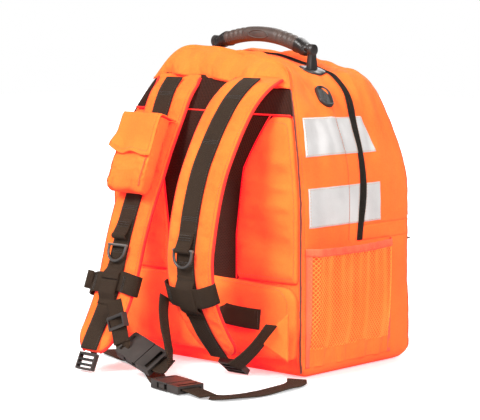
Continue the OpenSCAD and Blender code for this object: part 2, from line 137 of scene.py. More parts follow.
# ---------------------------------------------------------------- mesh making


def to_frame(p):
    """Points in metres in the frame of the CAD model."""
    return (np.asarray(p, float) + (0, BACK, 0)) * MM


def new_mesh(name, verts, faces, material, body=None, uv=None, slot=None, replaces=()):
    """A smooth mesh object from points in millimetres, riding on a CAD body."""
    mesh = bpy.data.meshes.new(name)
    mesh.from_pydata(to_frame(verts).tolist(), [], [list(map(int, f)) for f in faces])
    mesh.materials.append(material)
    mesh.polygons.foreach_set("use_smooth", [True] * len(mesh.polygons))
    if uv is not None:
        layer = mesh.uv_layers.new(name="metres")
        index = np.zeros(len(mesh.loops), int)
        mesh.loops.foreach_get("vertex_index", index)
        layer.data.foreach_set("uv", (np.asarray(uv)[index] * MM).ravel())
    mesh.validate()
    piece = bpy.data.objects.new(name, mesh)
    bpy.context.scene.collection.objects.link(piece)
    if body:
        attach(piece, body)
    if replaces:
        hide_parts(*replaces)
    return piece


def plain_piece(name, data, material, body, **more):
    """A piece made of (verts, faces, ...) data whose material needs no texture coordinates."""
    return new_mesh(name, data[0], data[1], material, body, **more)


def mapped_piece(name, data, material, body, **more):
    """A piece made of (verts, faces, texture coordinates) data."""
    return new_mesh(name, data[0], data[1], material, body, data[2], **more)


def grid_normals(p, wrap=False):
    """Unit normals of a grid of points; wrap joins its last row to its first."""
    du = np.roll(p, -1, 0) - np.roll(p, 1, 0) if wrap else np.gradient(p, axis=0)
    dv = np.gradient(p, axis=1)
    return unit(np.cross(du, dv))


def grid_faces(nu, nv, wrap=False, keep=None):
    """Four-sided faces of a grid, or only those that keep marks."""
    i, j = np.meshgrid(np.arange(nu if wrap else nu - 1), np.arange(nv - 1), indexing="ij")
    i2 = (i + 1) % nu
    f = np.stack([i * nv + j, i2 * nv + j, i2 * nv + j + 1, i * nv + j + 1], -1)
    if keep is not None:
        f = f[keep]
    return f.reshape(-1, 4)


def thicken(verts, faces, normals, thick, uv):
    """A closed skin: the faces, a copy pushed in by thick, and a rim along every free edge."""
    used = np.unique(faces)
    index = np.full(len(verts), -1)
    index[used] = np.arange(len(used))
    faces = index[faces]
    verts, normals = verts[used], normals[used]
    uv = None if uv is None else uv[used]
    n = len(verts)
    edges = np.concatenate([faces[:, [k, (k + 1) % 4]] for k in range(4)])
    known = set(map(tuple, edges.tolist()))
    rim = [(b, a, a + n, b + n) for a, b in known if (b, a) not in known]
    inner = verts - normals * np.reshape(thick, (-1, 1) if np.ndim(thick) else 1)
    all_faces = [tuple(f) for f in faces] + [tuple(f[::-1] + n) for f in faces] + rim
    both = np.concatenate([verts, inner])
    both_uv = None if uv is None else np.concatenate([uv, uv])
    return both, all_faces, both_uv


MIDDLE = np.array([0.0, 120.0, 200.0])


def skin_data(p, thick, uv=None, wrap=False, keep=None):
    """Cloth from a grid of points, thickened towards the middle of the bag."""
    n = grid_normals(p, wrap)
    faces = grid_faces(*p.shape[:2], wrap, keep)
    if np.mean(np.sum(n * (p - MIDDLE), -1)) < 0:
        n = -n
        faces = faces[:, ::-1]
    uv = grid_uv(p) if uv is None else uv
    return thicken(p.reshape(-1, 3), faces, n.reshape(-1, 3), thick, uv.reshape(-1, 2))


def skin_piece(name, p, material, body, thick, uv=None, wrap=False, keep=None, **more):
    """A cloth piece made of skin_data."""
    v, f, t = skin_data(p, thick, uv, wrap, keep)
    return new_mesh(name, v, f, material, body, t, **more)


def grid_uv(p):
    """Texture coordinates in millimetres along both directions of a grid."""
    u = np.concatenate([np.zeros((1, p.shape[1])),
                        np.cumsum(np.linalg.norm(np.diff(p, axis=0), axis=2), 0)])
    v = np.concatenate([np.zeros((p.shape[0], 1)),
                        np.cumsum(np.linalg.norm(np.diff(p, axis=1), axis=2), 1)], 1)
    return np.stack([u, v], -1)


def sweep_data(path, across, out, section):
    """A closed bar along a path; section holds (across, out) pairs, one ring or one per point."""
    path, across, out = (np.asarray(a, float) for a in (path, across, out))
    n = len(path)
    section = np.asarray(section, float)
    if section.ndim == 2:
        section = np.repeat(section[None], n, 0)
    m = section.shape[1]
    v = path[:, None] + across[:, None] * section[..., :1] + out[:, None] * section[..., 1:]
    ring = np.concatenate([[0], np.cumsum(np.linalg.norm(np.diff(section[0], axis=0), axis=1))])
    uv = np.stack(np.broadcast_arrays(section[..., 0] + 0 * ring, lengths(path)[:, None]), -1)
    faces = []
    for i in range(n - 1):
        for k in range(m):
            l = (k + 1) % m
            faces.append((i * m + k, i * m + l, (i + 1) * m + l, (i + 1) * m + k))
    faces += [tuple(range(m))[::-1], tuple((n - 1) * m + k for k in range(m))]
    return v.reshape(-1, 3), faces, uv.reshape(-1, 2)


def join_data(parts):
    """Several (verts, faces, texture coordinates) sets as one."""
    verts, faces, uvs, base = [], [], [], 0
    for v, f, t in parts:
        verts.append(v)
        uvs.append(t)
        faces += [tuple(i + base for i in face) for face in f]
        base += len(v)
    return np.concatenate(verts), faces, np.concatenate(uvs)


def frames(path, hint):
    """Across and out directions along a path, with out as near to hint as it can be."""
    t = tangents(path)
    out = np.broadcast_to(np.asarray(hint, float), path.shape)
    out = unit(out - t * np.sum(out * t, 1, keepdims=True))
    return np.cross(out, t), out


def flat_section(w, t, edge=0.35):
    """Outline of a webbing strip, with soft edges."""
    a, b = w / 2, t / 2
    e = min(edge * t, b * 0.8)
    return [(-a, -b + e), (-a + e, -b), (-a * 0.5, -b), (0, -b), (a * 0.5, -b), (a - e, -b),
            (a, -b + e), (a, b - e), (a - e, b), (a * 0.5, b), (0, b), (-a * 0.5, b),
            (-a + e, b), (-a, b - e)]


def round_section(r, n=8):
    """Outline of a round bar."""
    return [(r * math.cos(2 * math.pi * k / n), r * math.sin(2 * math.pi * k / n)) for k in range(n)]


def strap_data(path, hint, width=25.0, thick=1.8):
    """A strip of webbing along a path, its face towards hint."""
    across, out = frames(path, hint)
    return sweep_data(path, across, out, flat_section(width, thick))


def tube_data(path, r, n=6, hint=(0.31, 0.52, 0.8)):
    """A round cord along a path."""
    across, out = frames(path, hint)
    return sweep_data(path, across, out, round_section(r, n))


def thread_data(path, out, long=3.0, gap=1.3, r=0.32):
    """Stitches along a line on a surface whose outward directions are given."""
    s = lengths(path)
    count = max(1, int(s[-1] / (long + gap)))
    parts = []
    for k in range(count):
        a = (k + 0.5) * s[-1] / count - long / 2
        t = np.linspace(a, a + long, 5)
        p = np.stack([np.interp(t, s, path[:, i]) for i in range(3)], 1)
        o = unit(np.stack([np.interp(t, s, out[:, i]) for i in range(3)], 1))
        p += o * (r * np.array([-1.2, 0.5, 0.8, 0.5, -1.2]))[:, None]
        parts.append(sweep_data(p, np.cross(o, tangents(p)), o, round_section(r, 5)))
    return join_data(parts)


# ---------------------------------------------------------------- materials


class Shader:
    """A node material that is written as nested calls."""

    def __init__(self, name):
        self.material = bpy.data.materials.new(name)
        self.material.use_nodes = True
        self.tree = self.material.node_tree
        self.principled = self.tree.nodes["Principled BSDF"]

    def add(self, kind, settings=None, **inputs):
        node = self.tree.nodes.new("ShaderNode" + kind)
        for key, value in (settings or {}).items():
            setattr(node, key, value)
        self.feed(node, inputs)
        return node

    def feed(self, node, inputs):
        for key, value in inputs.items():
            key = int(key[1:]) if key[0] == "i" and key[1:].isdigit() else key.replace("_", " ")
            socket = node.inputs[key]
            if isinstance(value, bpy.types.NodeSocket):
                self.tree.links.new(value, socket)
            else:
                socket.default_value = value

    def math(self, operation, a, b=0.0, clamp=False):
        node = self.add("Math", {"operation": operation, "use_clamp": clamp}, i0=a, i1=b)
        return node.outputs[0]

    def mix(self, factor, a, b):
        node = self.add("Mix", {"data_type": "RGBA"})
        self.tree.links.new(factor, node.inputs[0])
        for socket, value in ((node.inputs[6], a), (node.inputs[7], b)):
            if isinstance(value, bpy.types.NodeSocket):
                self.tree.links.new(value, socket)
            else:
                socket.default_value = value
        return node.outputs[2]

    def ramp(self, value, low, high):
        node = self.add("MapRange", i0=value, i1=low, i2=high)
        return node.outputs[0]

    def noise(self, where, scale, detail=3.0):
        return self.add("TexNoise", Vector=where, Scale=scale, Detail=detail).outputs[0]

    def place(self, name="Object"):
        return self.add("TexCoord").outputs[name]

    def parts(self, vector):
        return self.add("SeparateXYZ", i0=vector).outputs

    def wave(self, value, length):
        return self.math("SINE", self.math("MULTIPLY", value, 2 * math.pi / length))

    def bump(self, height, depth, strength=1.0, under=None):
        inputs = {"Height": height, "Distance": depth, "Strength": strength}
        if under is not None:
            inputs["Normal"] = under
        return self.add("Bump", **inputs).outputs[0]

    def finish(self, **inputs):
        self.feed(self.principled, inputs)
        return self.material


def rgb(r, g, b):
    """A linear colour from 0-255 screen values."""
    return tuple(((c / 255 + 0.055) / 1.055) ** 2.4 if c > 10 else c / 3294.6 for c in (r, g, b)) + (1.0,)


def cloth_weave(s, pitch=0.0011):
    """Woven relief on any surface: threads along each axis that lies in it."""
    x, y, z = s.parts(s.place())
    nx, ny, nz = (s.math("ABSOLUTE", c) for c in s.parts(s.place("Normal")))
    total = None
    for value, normal in ((x, nx), (y, ny), (z, nz)):
        part = s.math("MULTIPLY", s.wave(value, pitch), s.math("SUBTRACT", 1.0, normal))
        total = part if total is None else s.math("ADD", total, part)
    return total


def orange_cloth(name, low=(0.86, 0.165, 0.014, 1), high=(1.0, 0.30, 0.032, 1), painted_glow=1.0):
    """Fluorescent woven cloth with a painted glow: a constant red emission, though the cloth is no lamp,
    which keeps its shaded parts a saturated red.
    """
    s = Shader(name)
    where = s.place()
    weave = cloth_weave(s)
    broad = s.noise(where, 14.0, 4.0)
    fine = s.noise(where, 420.0, 2.0)
    tone = s.math("ADD", s.math("MULTIPLY", broad, 0.75), s.math("MULTIPLY", fine, 0.35))
    # the weave term lightens the threads' crests a little: painted shade of the weave's grooves
    tone = s.math("ADD", tone, s.math("MULTIPLY", weave, 0.07), clamp=True)
    height = s.math("ADD", weave, s.math("MULTIPLY", fine, 1.4))
    normal = s.bump(height, 0.00020, 0.7, s.bump(s.noise(where, 38.0, 4.0), 0.0030, 0.6))
    return s.finish(Base_Color=s.mix(s.ramp(tone, 0.25, 0.85), low, high), Roughness=0.8,
                    Sheen_Weight=0.12, Sheen_Tint=(1.0, 0.4, 0.2, 1), Specular_IOR_Level=0.12,
                    # painted glow: a steady red emission that turns the cloth's shade red
                    Emission_Color=(0.95, 0.0, 0.036, 1), Emission_Strength=0.66 * painted_glow,
                    Normal=normal)


def webbing_cloth(name, dark=rgb(13, 8, 5), light=rgb(82, 58, 40), rib=0.0021):
    """Ribbed webbing: crosswise picks that step between lengthwise ribs."""
    s = Shader(name)
    u, v, _ = s.parts(s.place("UV"))
    ribs = s.wave(u, rib)
    picks = s.wave(s.math("ADD", v, s.math("MULTIPLY", s.math("SIGN", ribs), rib * 0.22)), rib * 0.85)
    height = s.math("ADD", s.math("MULTIPLY", s.math("ABSOLUTE", ribs), 0.8), s.math("MULTIPLY", picks, 0.6))
    fuzz = s.noise(s.place(), 700.0, 2.0)
    wear = s.noise(s.place(), 35.0, 3.0)
    # the colour follows the rib relief, lighter on the ribs and darker in the grooves between them: painted
    # shade
    tone = s.math("ADD", s.math("MULTIPLY", height, 0.55), s.math("MULTIPLY", fuzz, 0.35))
    tone = s.math("ADD", tone, s.math("MULTIPLY", wear, 0.25))
    return s.finish(Base_Color=s.mix(s.ramp(tone, 0.05, 1.0), dark, light), Roughness=0.74,
                    Sheen_Weight=0.08, Sheen_Tint=(0.9, 0.75, 0.6, 1), Specular_IOR_Level=0.2,
                    Normal=s.bump(height, 0.0009, 1.0, s.bump(fuzz, 0.0003, 0.4)))


def spacer_mesh(name, pitch=0.0052):
    """Black air mesh: a net of diamond cells, coloured darker in the cells than on the threads as painted
    shade in the holes.
    """
    s = Shader(name)
    u, v, _ = s.parts(s.place("UV"))
    v = s.math("MULTIPLY", v, 0.62)
    a = s.wave(s.math("ADD", u, v), pitch)
    b = s.wave(s.math("SUBTRACT", u, v), pitch)
    net = s.math("MAXIMUM", s.math("ABSOLUTE", a), s.math("ABSOLUTE", b))
    fuzz = s.noise(s.place(), 900.0, 2.0)
    # cells darker than the threads: painted shade in the holes
    tone = s.math("ADD", s.ramp(net, 0.72, 0.97), s.math("MULTIPLY", fuzz, 0.25))
    return s.finish(Base_Color=s.mix(s.ramp(tone, 0.05, 1.15), rgb(14, 5, 4), rgb(84, 46, 32)),
                    Roughness=0.85, Sheen_Weight=0.05, Specular_IOR_Level=0.1,
                    Normal=s.bump(s.ramp(net, 0.7, 1.0), 0.0011, 1.0, s.bump(fuzz, 0.0003, 0.4)))


def reflective_tape(name):
    """Silver glass-bead tape with a fine square print and soft creases."""
    s = Shader(name)
    where = s.place()
    x, y, z = s.parts(where)
    beads = s.noise(where, 1600.0, 1.0)
    cloud = s.noise(where, 28.0, 4.0)
    lines = s.math("MULTIPLY", s.wave(z, 0.0016), s.wave(s.math("ADD", x, y), 0.0016))
    tone = s.math("ADD", s.math("MULTIPLY", cloud, 0.7), s.math("MULTIPLY", beads, 0.3))
    tone = s.math("ADD", tone, s.math("MULTIPLY", lines, 0.05))
    return s.finish(Base_Color=s.mix(s.ramp(tone, 0.2, 0.8), rgb(205, 200, 198), rgb(238, 235, 233)),
                    Roughness=0.42, Metallic=0.15, Sheen_Weight=0.1,
                    Normal=s.bump(beads, 0.00015, 0.5, s.bump(cloud, 0.0015, 0.45)))


def moulded(name, dark, light, roughness=0.42, grain=900.0, depth=0.00012):
    """Moulded plastic, rubber or painted metal: grain, handling marks and paler worn edges."""
    s = Shader(name)
    where = s.place()
    wear = s.ramp(s.add("NewGeometry").outputs["Pointiness"], 0.52, 0.60)
    cloud = s.noise(where, 60.0, 4.0)
    marks = s.noise(where, grain, 2.0)
    tone = s.math("ADD", s.math("MULTIPLY", cloud, 0.6), s.math("MULTIPLY", wear, 0.55))
    rough_value = s.math("ADD", s.math("MULTIPLY", marks, 0.18), roughness - 0.09)
    return s.finish(Base_Color=s.mix(s.ramp(tone, 0.2, 1.0), dark, light), Roughness=rough_value,
                    Normal=s.bump(marks, depth, 0.6, s.bump(cloud, 0.0004, 0.25)))


def thread(name, colour, pale):
    """Twisted sewing thread."""
    s = Shader(name)
    x, y, z = s.parts(s.place())
    ply = s.wave(s.math("ADD", s.math("ADD", x, y), s.math("MULTIPLY", z, 1.4)), 0.0006)
    tone = s.math("ADD", s.math("MULTIPLY", ply, 0.3), s.noise(s.place(), 120.0))
    return s.finish(Base_Color=s.mix(tone, colour, pale), Roughness=0.7, Sheen_Weight=0.3,
                    Normal=s.bump(ply, 0.0002, 0.6))


ORANGE = orange_cloth("orange_cloth")
ORANGE_THREAD = thread("orange_thread", (0.62, 0.07, 0.01, 1), (0.95, 0.20, 0.03, 1))
# dark brown piping: partly a real piping, its dark colour is painted shadow of the back seam's groove
SEAM_SHADOW_PIPING = thread("seam_shadow_piping", rgb(92, 30, 14), rgb(140, 52, 24))
# a copy of the orange cloth in the red it takes in shade; on the piping and shoulder bindings it is painted
# shade along edges and crevices
SHADE_RED_CLOTH = orange_cloth("shade_red_cloth", (0.75, 0.03, 0.02, 1), (0.95, 0.08, 0.03, 1), 0.8)
WEBBING = webbing_cloth("webbing")
BLACK_THREAD = thread("black_thread", rgb(26, 22, 18), rgb(70, 60, 50))
AIR_MESH = spacer_mesh("spacer_mesh")
TAPE = reflective_tape("reflective_tape")
PLASTIC = moulded("buckle_plastic", rgb(24, 20, 19), rgb(72, 64, 60), 0.38)
METAL = moulded("ring_metal", rgb(62, 58, 56), rgb(120, 114, 110), 0.33, 500.0, 0.00006)
RUBBER = moulded("port_rubber", rgb(34, 30, 28), rgb(74, 68, 64), 0.48, 1400.0)
GRIP = moulded("grip_rubber", rgb(74, 60, 54), rgb(126, 104, 94), 0.5, 1500.0, 0.0002)
ZIP_TAPE = webbing_cloth("zip_tape", rgb(22, 18, 15), rgb(58, 50, 42), 0.0009)
ZIP_METAL = moulded("zip_slider", rgb(34, 32, 31), rgb(96, 92, 90), 0.3, 700.0, 0.00005)

# ---------------------------------------------------------------- outline of the bag

SIDE_R, SHOULDER_R, SPRING = 300.0, 60.0, TOP - 203
SHOULDER_Z = TOP - SHOULDER_R
SHOULDER_X = HALF_W - SIDE_R + math.sqrt((SIDE_R - SHOULDER_R) ** 2 - (SHOULDER_Z - SPRING) ** 2)
TURN = math.atan2(SHOULDER_Z - SPRING, SHOULDER_X - HALF_W + SIDE_R)
FOOT = 16.0
SAG = 12.0
CROWN_R = 90.0
TOP_FALL = 6.0


def sag(x, y, z):
    """How far the slack right shoulder hangs below its full shape, most of all under the handle,
    less the puff of the gathered cloth at the left end of the back."""
    dip = 5.0 * np.exp(-((y - 120) / 55) ** 2) * ease((x + 20) / 90) - 4.0 * ease((60 - y) / 40)
    dip = dip - 8.0 * ease((y - 150) / 60)
    puff = 9.0 * np.exp(-((x + 92) / 26) ** 2) + 4.0 * np.exp(-((x + 40) / 40) ** 2)
    puff = puff * ease((95 - y) / 60) * ease((z - 350) / 45)
    return (SAG + dip) * ease((x + 40) / 130) * ease((z - 300) / 110) - puff


def sagged(p):
    """Points lowered by the slack of the right shoulder."""
    p = np.array(p, float)
    p[..., 2] -= sag(p[..., 0], p[..., 1], p[..., 2])
    return p


def half_outline():
    """Right half of the arch from the middle of the bottom to the middle of the top."""
    line = [(0.0, 0.8), (HALF_W - FOOT - 40, 0.6), (HALF_W - FOOT, 0.6)]
    line += [(HALF_W - FOOT + FOOT * math.sin(a), FOOT * (1 - math.cos(a)) + 0.6)
             for a in np.linspace(0.2, math.pi / 2, 7)]
    line += [(HALF_W, z) for z in np.linspace(30, SPRING, 14)]
    line += [(HALF_W - SIDE_R + SIDE_R * math.cos(a), SPRING + SIDE_R * math.sin(a))
             for a in np.linspace(0, TURN, 14)[1:]]
    line += [(SHOULDER_X + SHOULDER_R * math.cos(a), SHOULDER_Z + SHOULDER_R * math.sin(a))
             for a in np.linspace(TURN, math.pi / 2, 12)[1:]]
    line += [(x, TOP) for x in np.linspace(SHOULDER_X, 0, 6)[1:]]
    return resample(line, 900)


HALF = half_outline()
HALF_S = lengths(HALF)
ROUND = 2 * HALF_S[-1]


def at_height(z):
    """Distance along the half outline at which the side reaches a height."""
    side = HALF[:, 0] > 60
    return np.interp(z, HALF[side][:, 1], HALF_S[side])


def outline(s):
    """Point and outward direction of the arch at distance s round it from the bottom's middle."""
    s = np.mod(np.asarray(s, float), ROUND)
    right = s <= HALF_S[-1]
    d = np.where(right, s, ROUND - s)
    x, z = (np.interp(d, HALF_S, HALF[:, k]) for k in (0, 1))
    step = 6.0
    ahead, behind = np.minimum(d + step, HALF_S[-1]), np.maximum(d - step, 0)
    tx = np.interp(ahead, HALF_S, HALF[:, 0]) - np.interp(behind, HALF_S, HALF[:, 0])
    tz = np.interp(ahead, HALF_S, HALF[:, 1]) - np.interp(behind, HALF_S, HALF[:, 1])
    n = unit(np.stack([tz, -tx], -1))
    sign = np.where(right, 1.0, -1.0)
    return np.stack([x * sign, z], -1), n * np.stack([sign, np.ones_like(sign)], -1)


def lean(z):
    """Depth of the back panel at a height: upright, then leaning in at the top."""
    z = np.asarray(z, float)
    top = 280 - np.sqrt(280.0 ** 2 - np.clip(z - (TOP - 175), 0, 200) ** 2)
    foot = 25 - np.sqrt(np.maximum(25.0 ** 2 - np.clip(25 - z, 0, 25) ** 2, 0))
    return top + foot * 0.6


def roundness(e, z):
    """How far the front falls back at distance e inside the outline."""
    r = 34 + 6 * ease((z - 60) / 60) + 25 * ease((z - 230) / 120)
    d = np.clip(r - e, 0, r)
    return r - np.sqrt(np.maximum(r ** 2 - d ** 2, 0))


def crown(z):
    """How far the top front edge falls back at a height."""
    d = np.clip(np.asarray(z, float) - (TOP - TOP_FALL - CROWN_R), 0, CROWN_R - 0.1)
    return CROWN_R - np.sqrt(CROWN_R ** 2 - d ** 2)


def top_drop(y):
    """How far the top falls below the back edge at a depth."""
    start = DEPTH - CROWN_R
    d = np.clip(y - start, 0, CROWN_R - 1)
    return TOP_FALL * np.clip((y + 30) / (start + 30), 0, 1) + CROWN_R - np.sqrt(CROWN_R ** 2 - d ** 2)


def seam_inset(n):
    """Distance of the front seam inside the outline."""
    return 7 + 25 * np.clip(n[..., 1], 0, 1) ** 2


def front_depth(e, z):
    """Depth of the front panel at distance e inside the outline."""
    return DEPTH - np.hypot(roundness(e, z), crown(z))


def front_ring(s, e):
    """Points of the front panel, e inside the outline, towards the middle of the panel."""
    a, n = outline(s)
    reach = np.sum((a - CENTRE) * n, -1)
    w = np.clip(e / reach, 0, 1)
    q = a + (CENTRE - a) * w[..., None]
    return np.stack([q[..., 0], front_depth(e, q[..., 1]), q[..., 1]], -1), n


def zip_depth(z):
    """Depth of the main zip at a height."""
    return ZIP_Y + ZIP_LEAN * np.maximum(z - HINGE_Z, 0)


def gusset_base(s, y):
    """The strip round the sides and top at distance s round the outline and depth y."""
    a, n = outline(s)
    seam, _ = front_ring(s, seam_inset(n))
    front, back = seam[..., 1], lean(a[..., 1])
    top = np.clip(n[..., 1], 0, 1) ** 2

    def inset(d):
        side = 40 - np.sqrt(np.maximum(40.0 ** 2 - np.clip(d - 200, 0, 39) ** 2, 0))
        return 0.4 + side * (1 - top) + top_drop(d) * top

    g = np.clip((inset(np.minimum(y, front)) - 0.4) / np.maximum(inset(front) - 0.4, 0.1), 0, 1)
    q = a + (seam[..., ::2] - a) * g[..., None]
    edge = 3.0 * np.clip(1 - (y - back) / 14, 0, 1) ** 2
    q = q - n * edge[..., None]
    p = np.stack([q[..., 0], y + 0 * q[..., 0], q[..., 1]], -1)
    return p, np.stack([n[..., 0], 0 * n[..., 0], n[..., 1]], -1), front, back


def soft(p, front, back):
    """Relief of the cloth: slack waves, creases and puckers that fade in from the seams."""
    y = p[..., 1]
    near = np.minimum(y - back, front - y)
    hold = ease(near / 34)
    slack = rough(p * (1, 0.8, 0.55), 62, 3.1) * 3.8 + rough(p * (1, 1.5, 0.45), 27, 8.2) * 1.9
    high = ease((p[..., 2] - 235) / 130)
    calm = 1 - 0.75 * ease((184 - p[..., 2]) / 20) * ease((p[..., 1] + 4) / 10) * ease((186 - p[..., 1]) / 10)
    slack = slack * (0.65 + 0.9 * high) * calm
    pucker = rough(p * (1.0, 0.25, 1.0), 11, 5.0) * 0.55 * (1 - ease(near / 22))
    groove = -1.3 * np.exp(-(near / 3.0) ** 2)
    under = ease(p[..., 2] / 14)
    relief = (slack * hold + 1.2 * hold * calm + pucker) * under + groove
    seat = ease((104 - np.abs(p[..., 0])) / 16) * ease((34 - np.abs(p[..., 1] - 120)) / 16)
    seat = seat * ease((p[..., 2] - 370) / 20)
    return relief * (1 - 0.8 * seat) - 3.2 * seat


def gusset(s, y, lift=0.0):
    """Finished surface of the side and top strip, raised by lift."""
    s, y = np.broadcast_arrays(np.asarray(s, float), np.asarray(y, float))
    p, n, front, back = gusset_base(s, y)
    d = np.clip(soft(p, front, back), -4.0, 6.5)
    return sagged(p + n * (d + lift)[..., None])


# ---------------------------------------------------------------- shell of the bag


def rows_round():
    """Distances round the outline, with rows exactly at the hinge and the fold on both sides."""
    a, b, c = at_height(HINGE_Z), at_height(FOLD_Z), HALF_S[-1]
    right = np.concatenate([np.linspace(0, a, 62)[:-1], np.linspace(a, b, 7)[:-1], np.linspace(b, c, 74)])
    return np.concatenate([right, ROUND - right[::-1][1:-1]])


def columns_deep(s, part):
    """Depths for a row: from the back seam to the zip, or from the zip to the front seam."""
    a, n = outline(s)
    back = lean(a[..., 1])
    front = front_ring(s, seam_inset(n))[0][..., 1]
    mid = zip_depth(a[..., 1])
    t = np.linspace(0, 1, 34 if part == "rear" else 40)
    low, high = (back, mid) if part == "rear" else (mid, front)
    return low[:, None] + (high - low)[:, None] * t


ROWS = rows_round()
DEEP = np.concatenate([columns_deep(ROWS, "rear"), columns_deep(ROWS, "front")[:, 1:]], 1)
SKIN = gusset(ROWS[:, None], DEEP)
ZIP_COLUMN = 33


def row_zone():
    """For each strip between rows: 0 below the hinge, 1 in the fold, 2 above it."""
    mid = (ROWS + np.roll(ROWS, -1)) / 2
    mid[-1] = ROWS[-1] + 0.5
    z = outline(mid)[0][:, 1]
    zone = np.where(z < HINGE_Z, 0, np.where(z < FOLD_Z, 1, 2))
    return zone


def front_rings():
    """Grid of the front panel from its seam to near its middle."""
    _, n = outline(ROWS)
    first = seam_inset(n)
    reach = np.sum((outline(ROWS)[0] - CENTRE) * n, -1)
    t = np.linspace(0, 1, 44) ** 1.25
    rings = []
    for k in t:
        e = first + (reach * 0.985 - first) * k
        rings.append(front_ring(ROWS, e)[0])
    return np.stack(rings, 1)


def relief_front(p):
    """Slack waves of the front panel, held at its seam."""
    seam = p[:, :1]
    near = np.linalg.norm(p - seam, axis=2)
    hold = ease(near / 40)
    wave = rough(p * (0.8, 1, 0.6), 70, 21.0) * 3.6 + rough(p * (1, 1, 0.5), 28, 12.0) * 1.8
    q = p.copy()
    q[..., 1] += (wave * hold + 1.5 * hold) * ease(p[..., 2] / 20) - 1.2 * np.exp(-(near / 3.0) ** 2)
    return sagged(q)


def back_rings():
    """Grid of the back panel from its seam towards its middle."""
    a, n = outline(ROWS)
    reach = np.sum((a - CENTRE) * n, -1)
    rings = []
    for k in np.linspace(0, 1, 22):
        e = 3.4 + (reach * 0.985 - 3.4) * k
        q = a + (CENTRE - a) * (e / reach)[:, None]
        y = lean(q[:, 1]) * ease(e / 60) + lean(a[:, 1]) * (1 - ease(e / 60))
        rings.append(np.stack([q[:, 0], y, q[:, 1]], -1))
    return np.stack(rings, 1)[:, ::-1]


def ring_uv(p):
    """Texture coordinates of the front and back panels."""
    return np.stack([p[..., 0], p[..., 2]], -1)


def shell():
    """The bag's cloth: a strip round its sides and a front and back sewn into it.
    Each is one surface, cut at the hinge, the fold and the zip into pieces that still meet."""
    zone = row_zone()[:, None]
    rear = (np.arange(SKIN.shape[1] - 1) < ZIP_COLUMN)[None]
    front = relief_front(front_rings())
    front[:, 0] = SKIN[:, -1]
    back = sagged(back_rings())
    back[:, -1] = SKIN[:, 0]
    every = np.ones((1, front.shape[1] - 1), bool)
    strip_uv = np.stack([np.broadcast_to(ROWS[:, None], DEEP.shape), DEEP], -1)
    cuts = [
        ("bag_gusset", SKIN, strip_uv, (zone == 0) | rear, "bag",
         ("side_panel_left", "side_panel_right", "top_panel", "bottom_panel")),
        ("fold_gusset", SKIN, strip_uv, (zone == 1) & ~rear, None, ()),
        ("lid_gusset_cloth", SKIN, strip_uv, (zone == 2) & ~rear, "lid", ("lid_gusset",)),
        ("bag_front", front, ring_uv(front), (zone == 0) & every, "bag", ("lower_front_panel",)),
        ("fold_front", front, ring_uv(front), (zone == 1) & every, None, ()),
        ("lid_front", front, ring_uv(front), (zone == 2) & every, "lid", ("lid_panel",)),
        ("back_cloth", back, ring_uv(back), np.ones((len(ROWS), back.shape[1] - 1), bool), "bag",
         ("back_panel",)),
    ]
    made = {}
    for name, p, uv, keep, body, nodes in cuts:
        made[name] = skin_piece(name, p, ORANGE, body, 2.4, uv, True, keep, slot="orange_cloth",
                                replaces=nodes)
    for name in ("fold_gusset", "fold_front"):
        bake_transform(made[name])
    return made


SHELL = shell()

# ---------------------------------------------------------------- padding of the back


def inflate(piece, hold, pressure, cap, shrink=-0.02):
    """Cloth simulation of a closed padded piece, held at the vertices whose weight in hold is 1.
    No vertex moves further than cap, and the result is written into the mesh."""
    mesh = piece.data
    rest = np.array([v.co for v in mesh.vertices])
    group = piece.vertex_groups.new(name="held")
    for i, weight in enumerate(hold):
        if weight > 0.01:
            group.add([i], float(weight), "REPLACE")
    cloth = piece.modifiers.new("puff", "CLOTH")
    cloth.settings.quality = 5
    cloth.settings.mass = 0.25
    cloth.settings.use_pressure = True
    cloth.settings.uniform_pressure_force = pressure
    cloth.settings.shrink_min = shrink
    cloth.settings.bending_stiffness = 0.25
    cloth.settings.vertex_group_mass = "held"
    cloth.settings.effector_weights.gravity = 0.0
    cloth.collision_settings.use_collision = False
    scene = bpy.context.scene
    scene.frame_start, scene.frame_end = 1, 20
    cloth.point_cache.frame_start, cloth.point_cache.frame_end = 1, 20
    for step in range(1, 21):
        scene.frame_set(step)
    shown = piece.evaluated_get(bpy.context.evaluated_depsgraph_get()).to_mesh()
    now = np.array([v.co for v in shown.vertices])
    piece.evaluated_get(bpy.context.evaluated_depsgraph_get()).to_mesh_clear()
    piece.modifiers.remove(cloth)
    piece.vertex_groups.remove(group)
    scene.frame_set(1)
    move = now - rest
    far = np.linalg.norm(move, axis=1, keepdims=True)
    move *= np.minimum(1, cap * MM / np.maximum(far, 1e-9))
    mesh.vertices.foreach_set("co", (rest + move).ravel())
    mesh.update()


def cushion_grid(loop, middle, base, height, rings=22, power=0.42, relief=None):
    """Front of a sewn pad: rings of an outline drawn in towards its middle and crowned."""
    loop, middle = np.asarray(loop, float), np.asarray(middle, float)
    t = np.linspace(0, 1, rings) ** 1.35
    q = loop[:, None] + (middle - loop)[:, None] * t[None, :, None]
    crown_up = height * (1 - (1 - np.clip(t / 0.62, 0, 1)) ** 2.4) ** power
    p = np.stack([q[..., 0], base(q[..., 0], q[..., 1]) - crown_up[None], q[..., 1]], -1)
    if relief is not None:
        p[..., 1] -= relief(p) * ease(t / 0.35)[None]
    return p


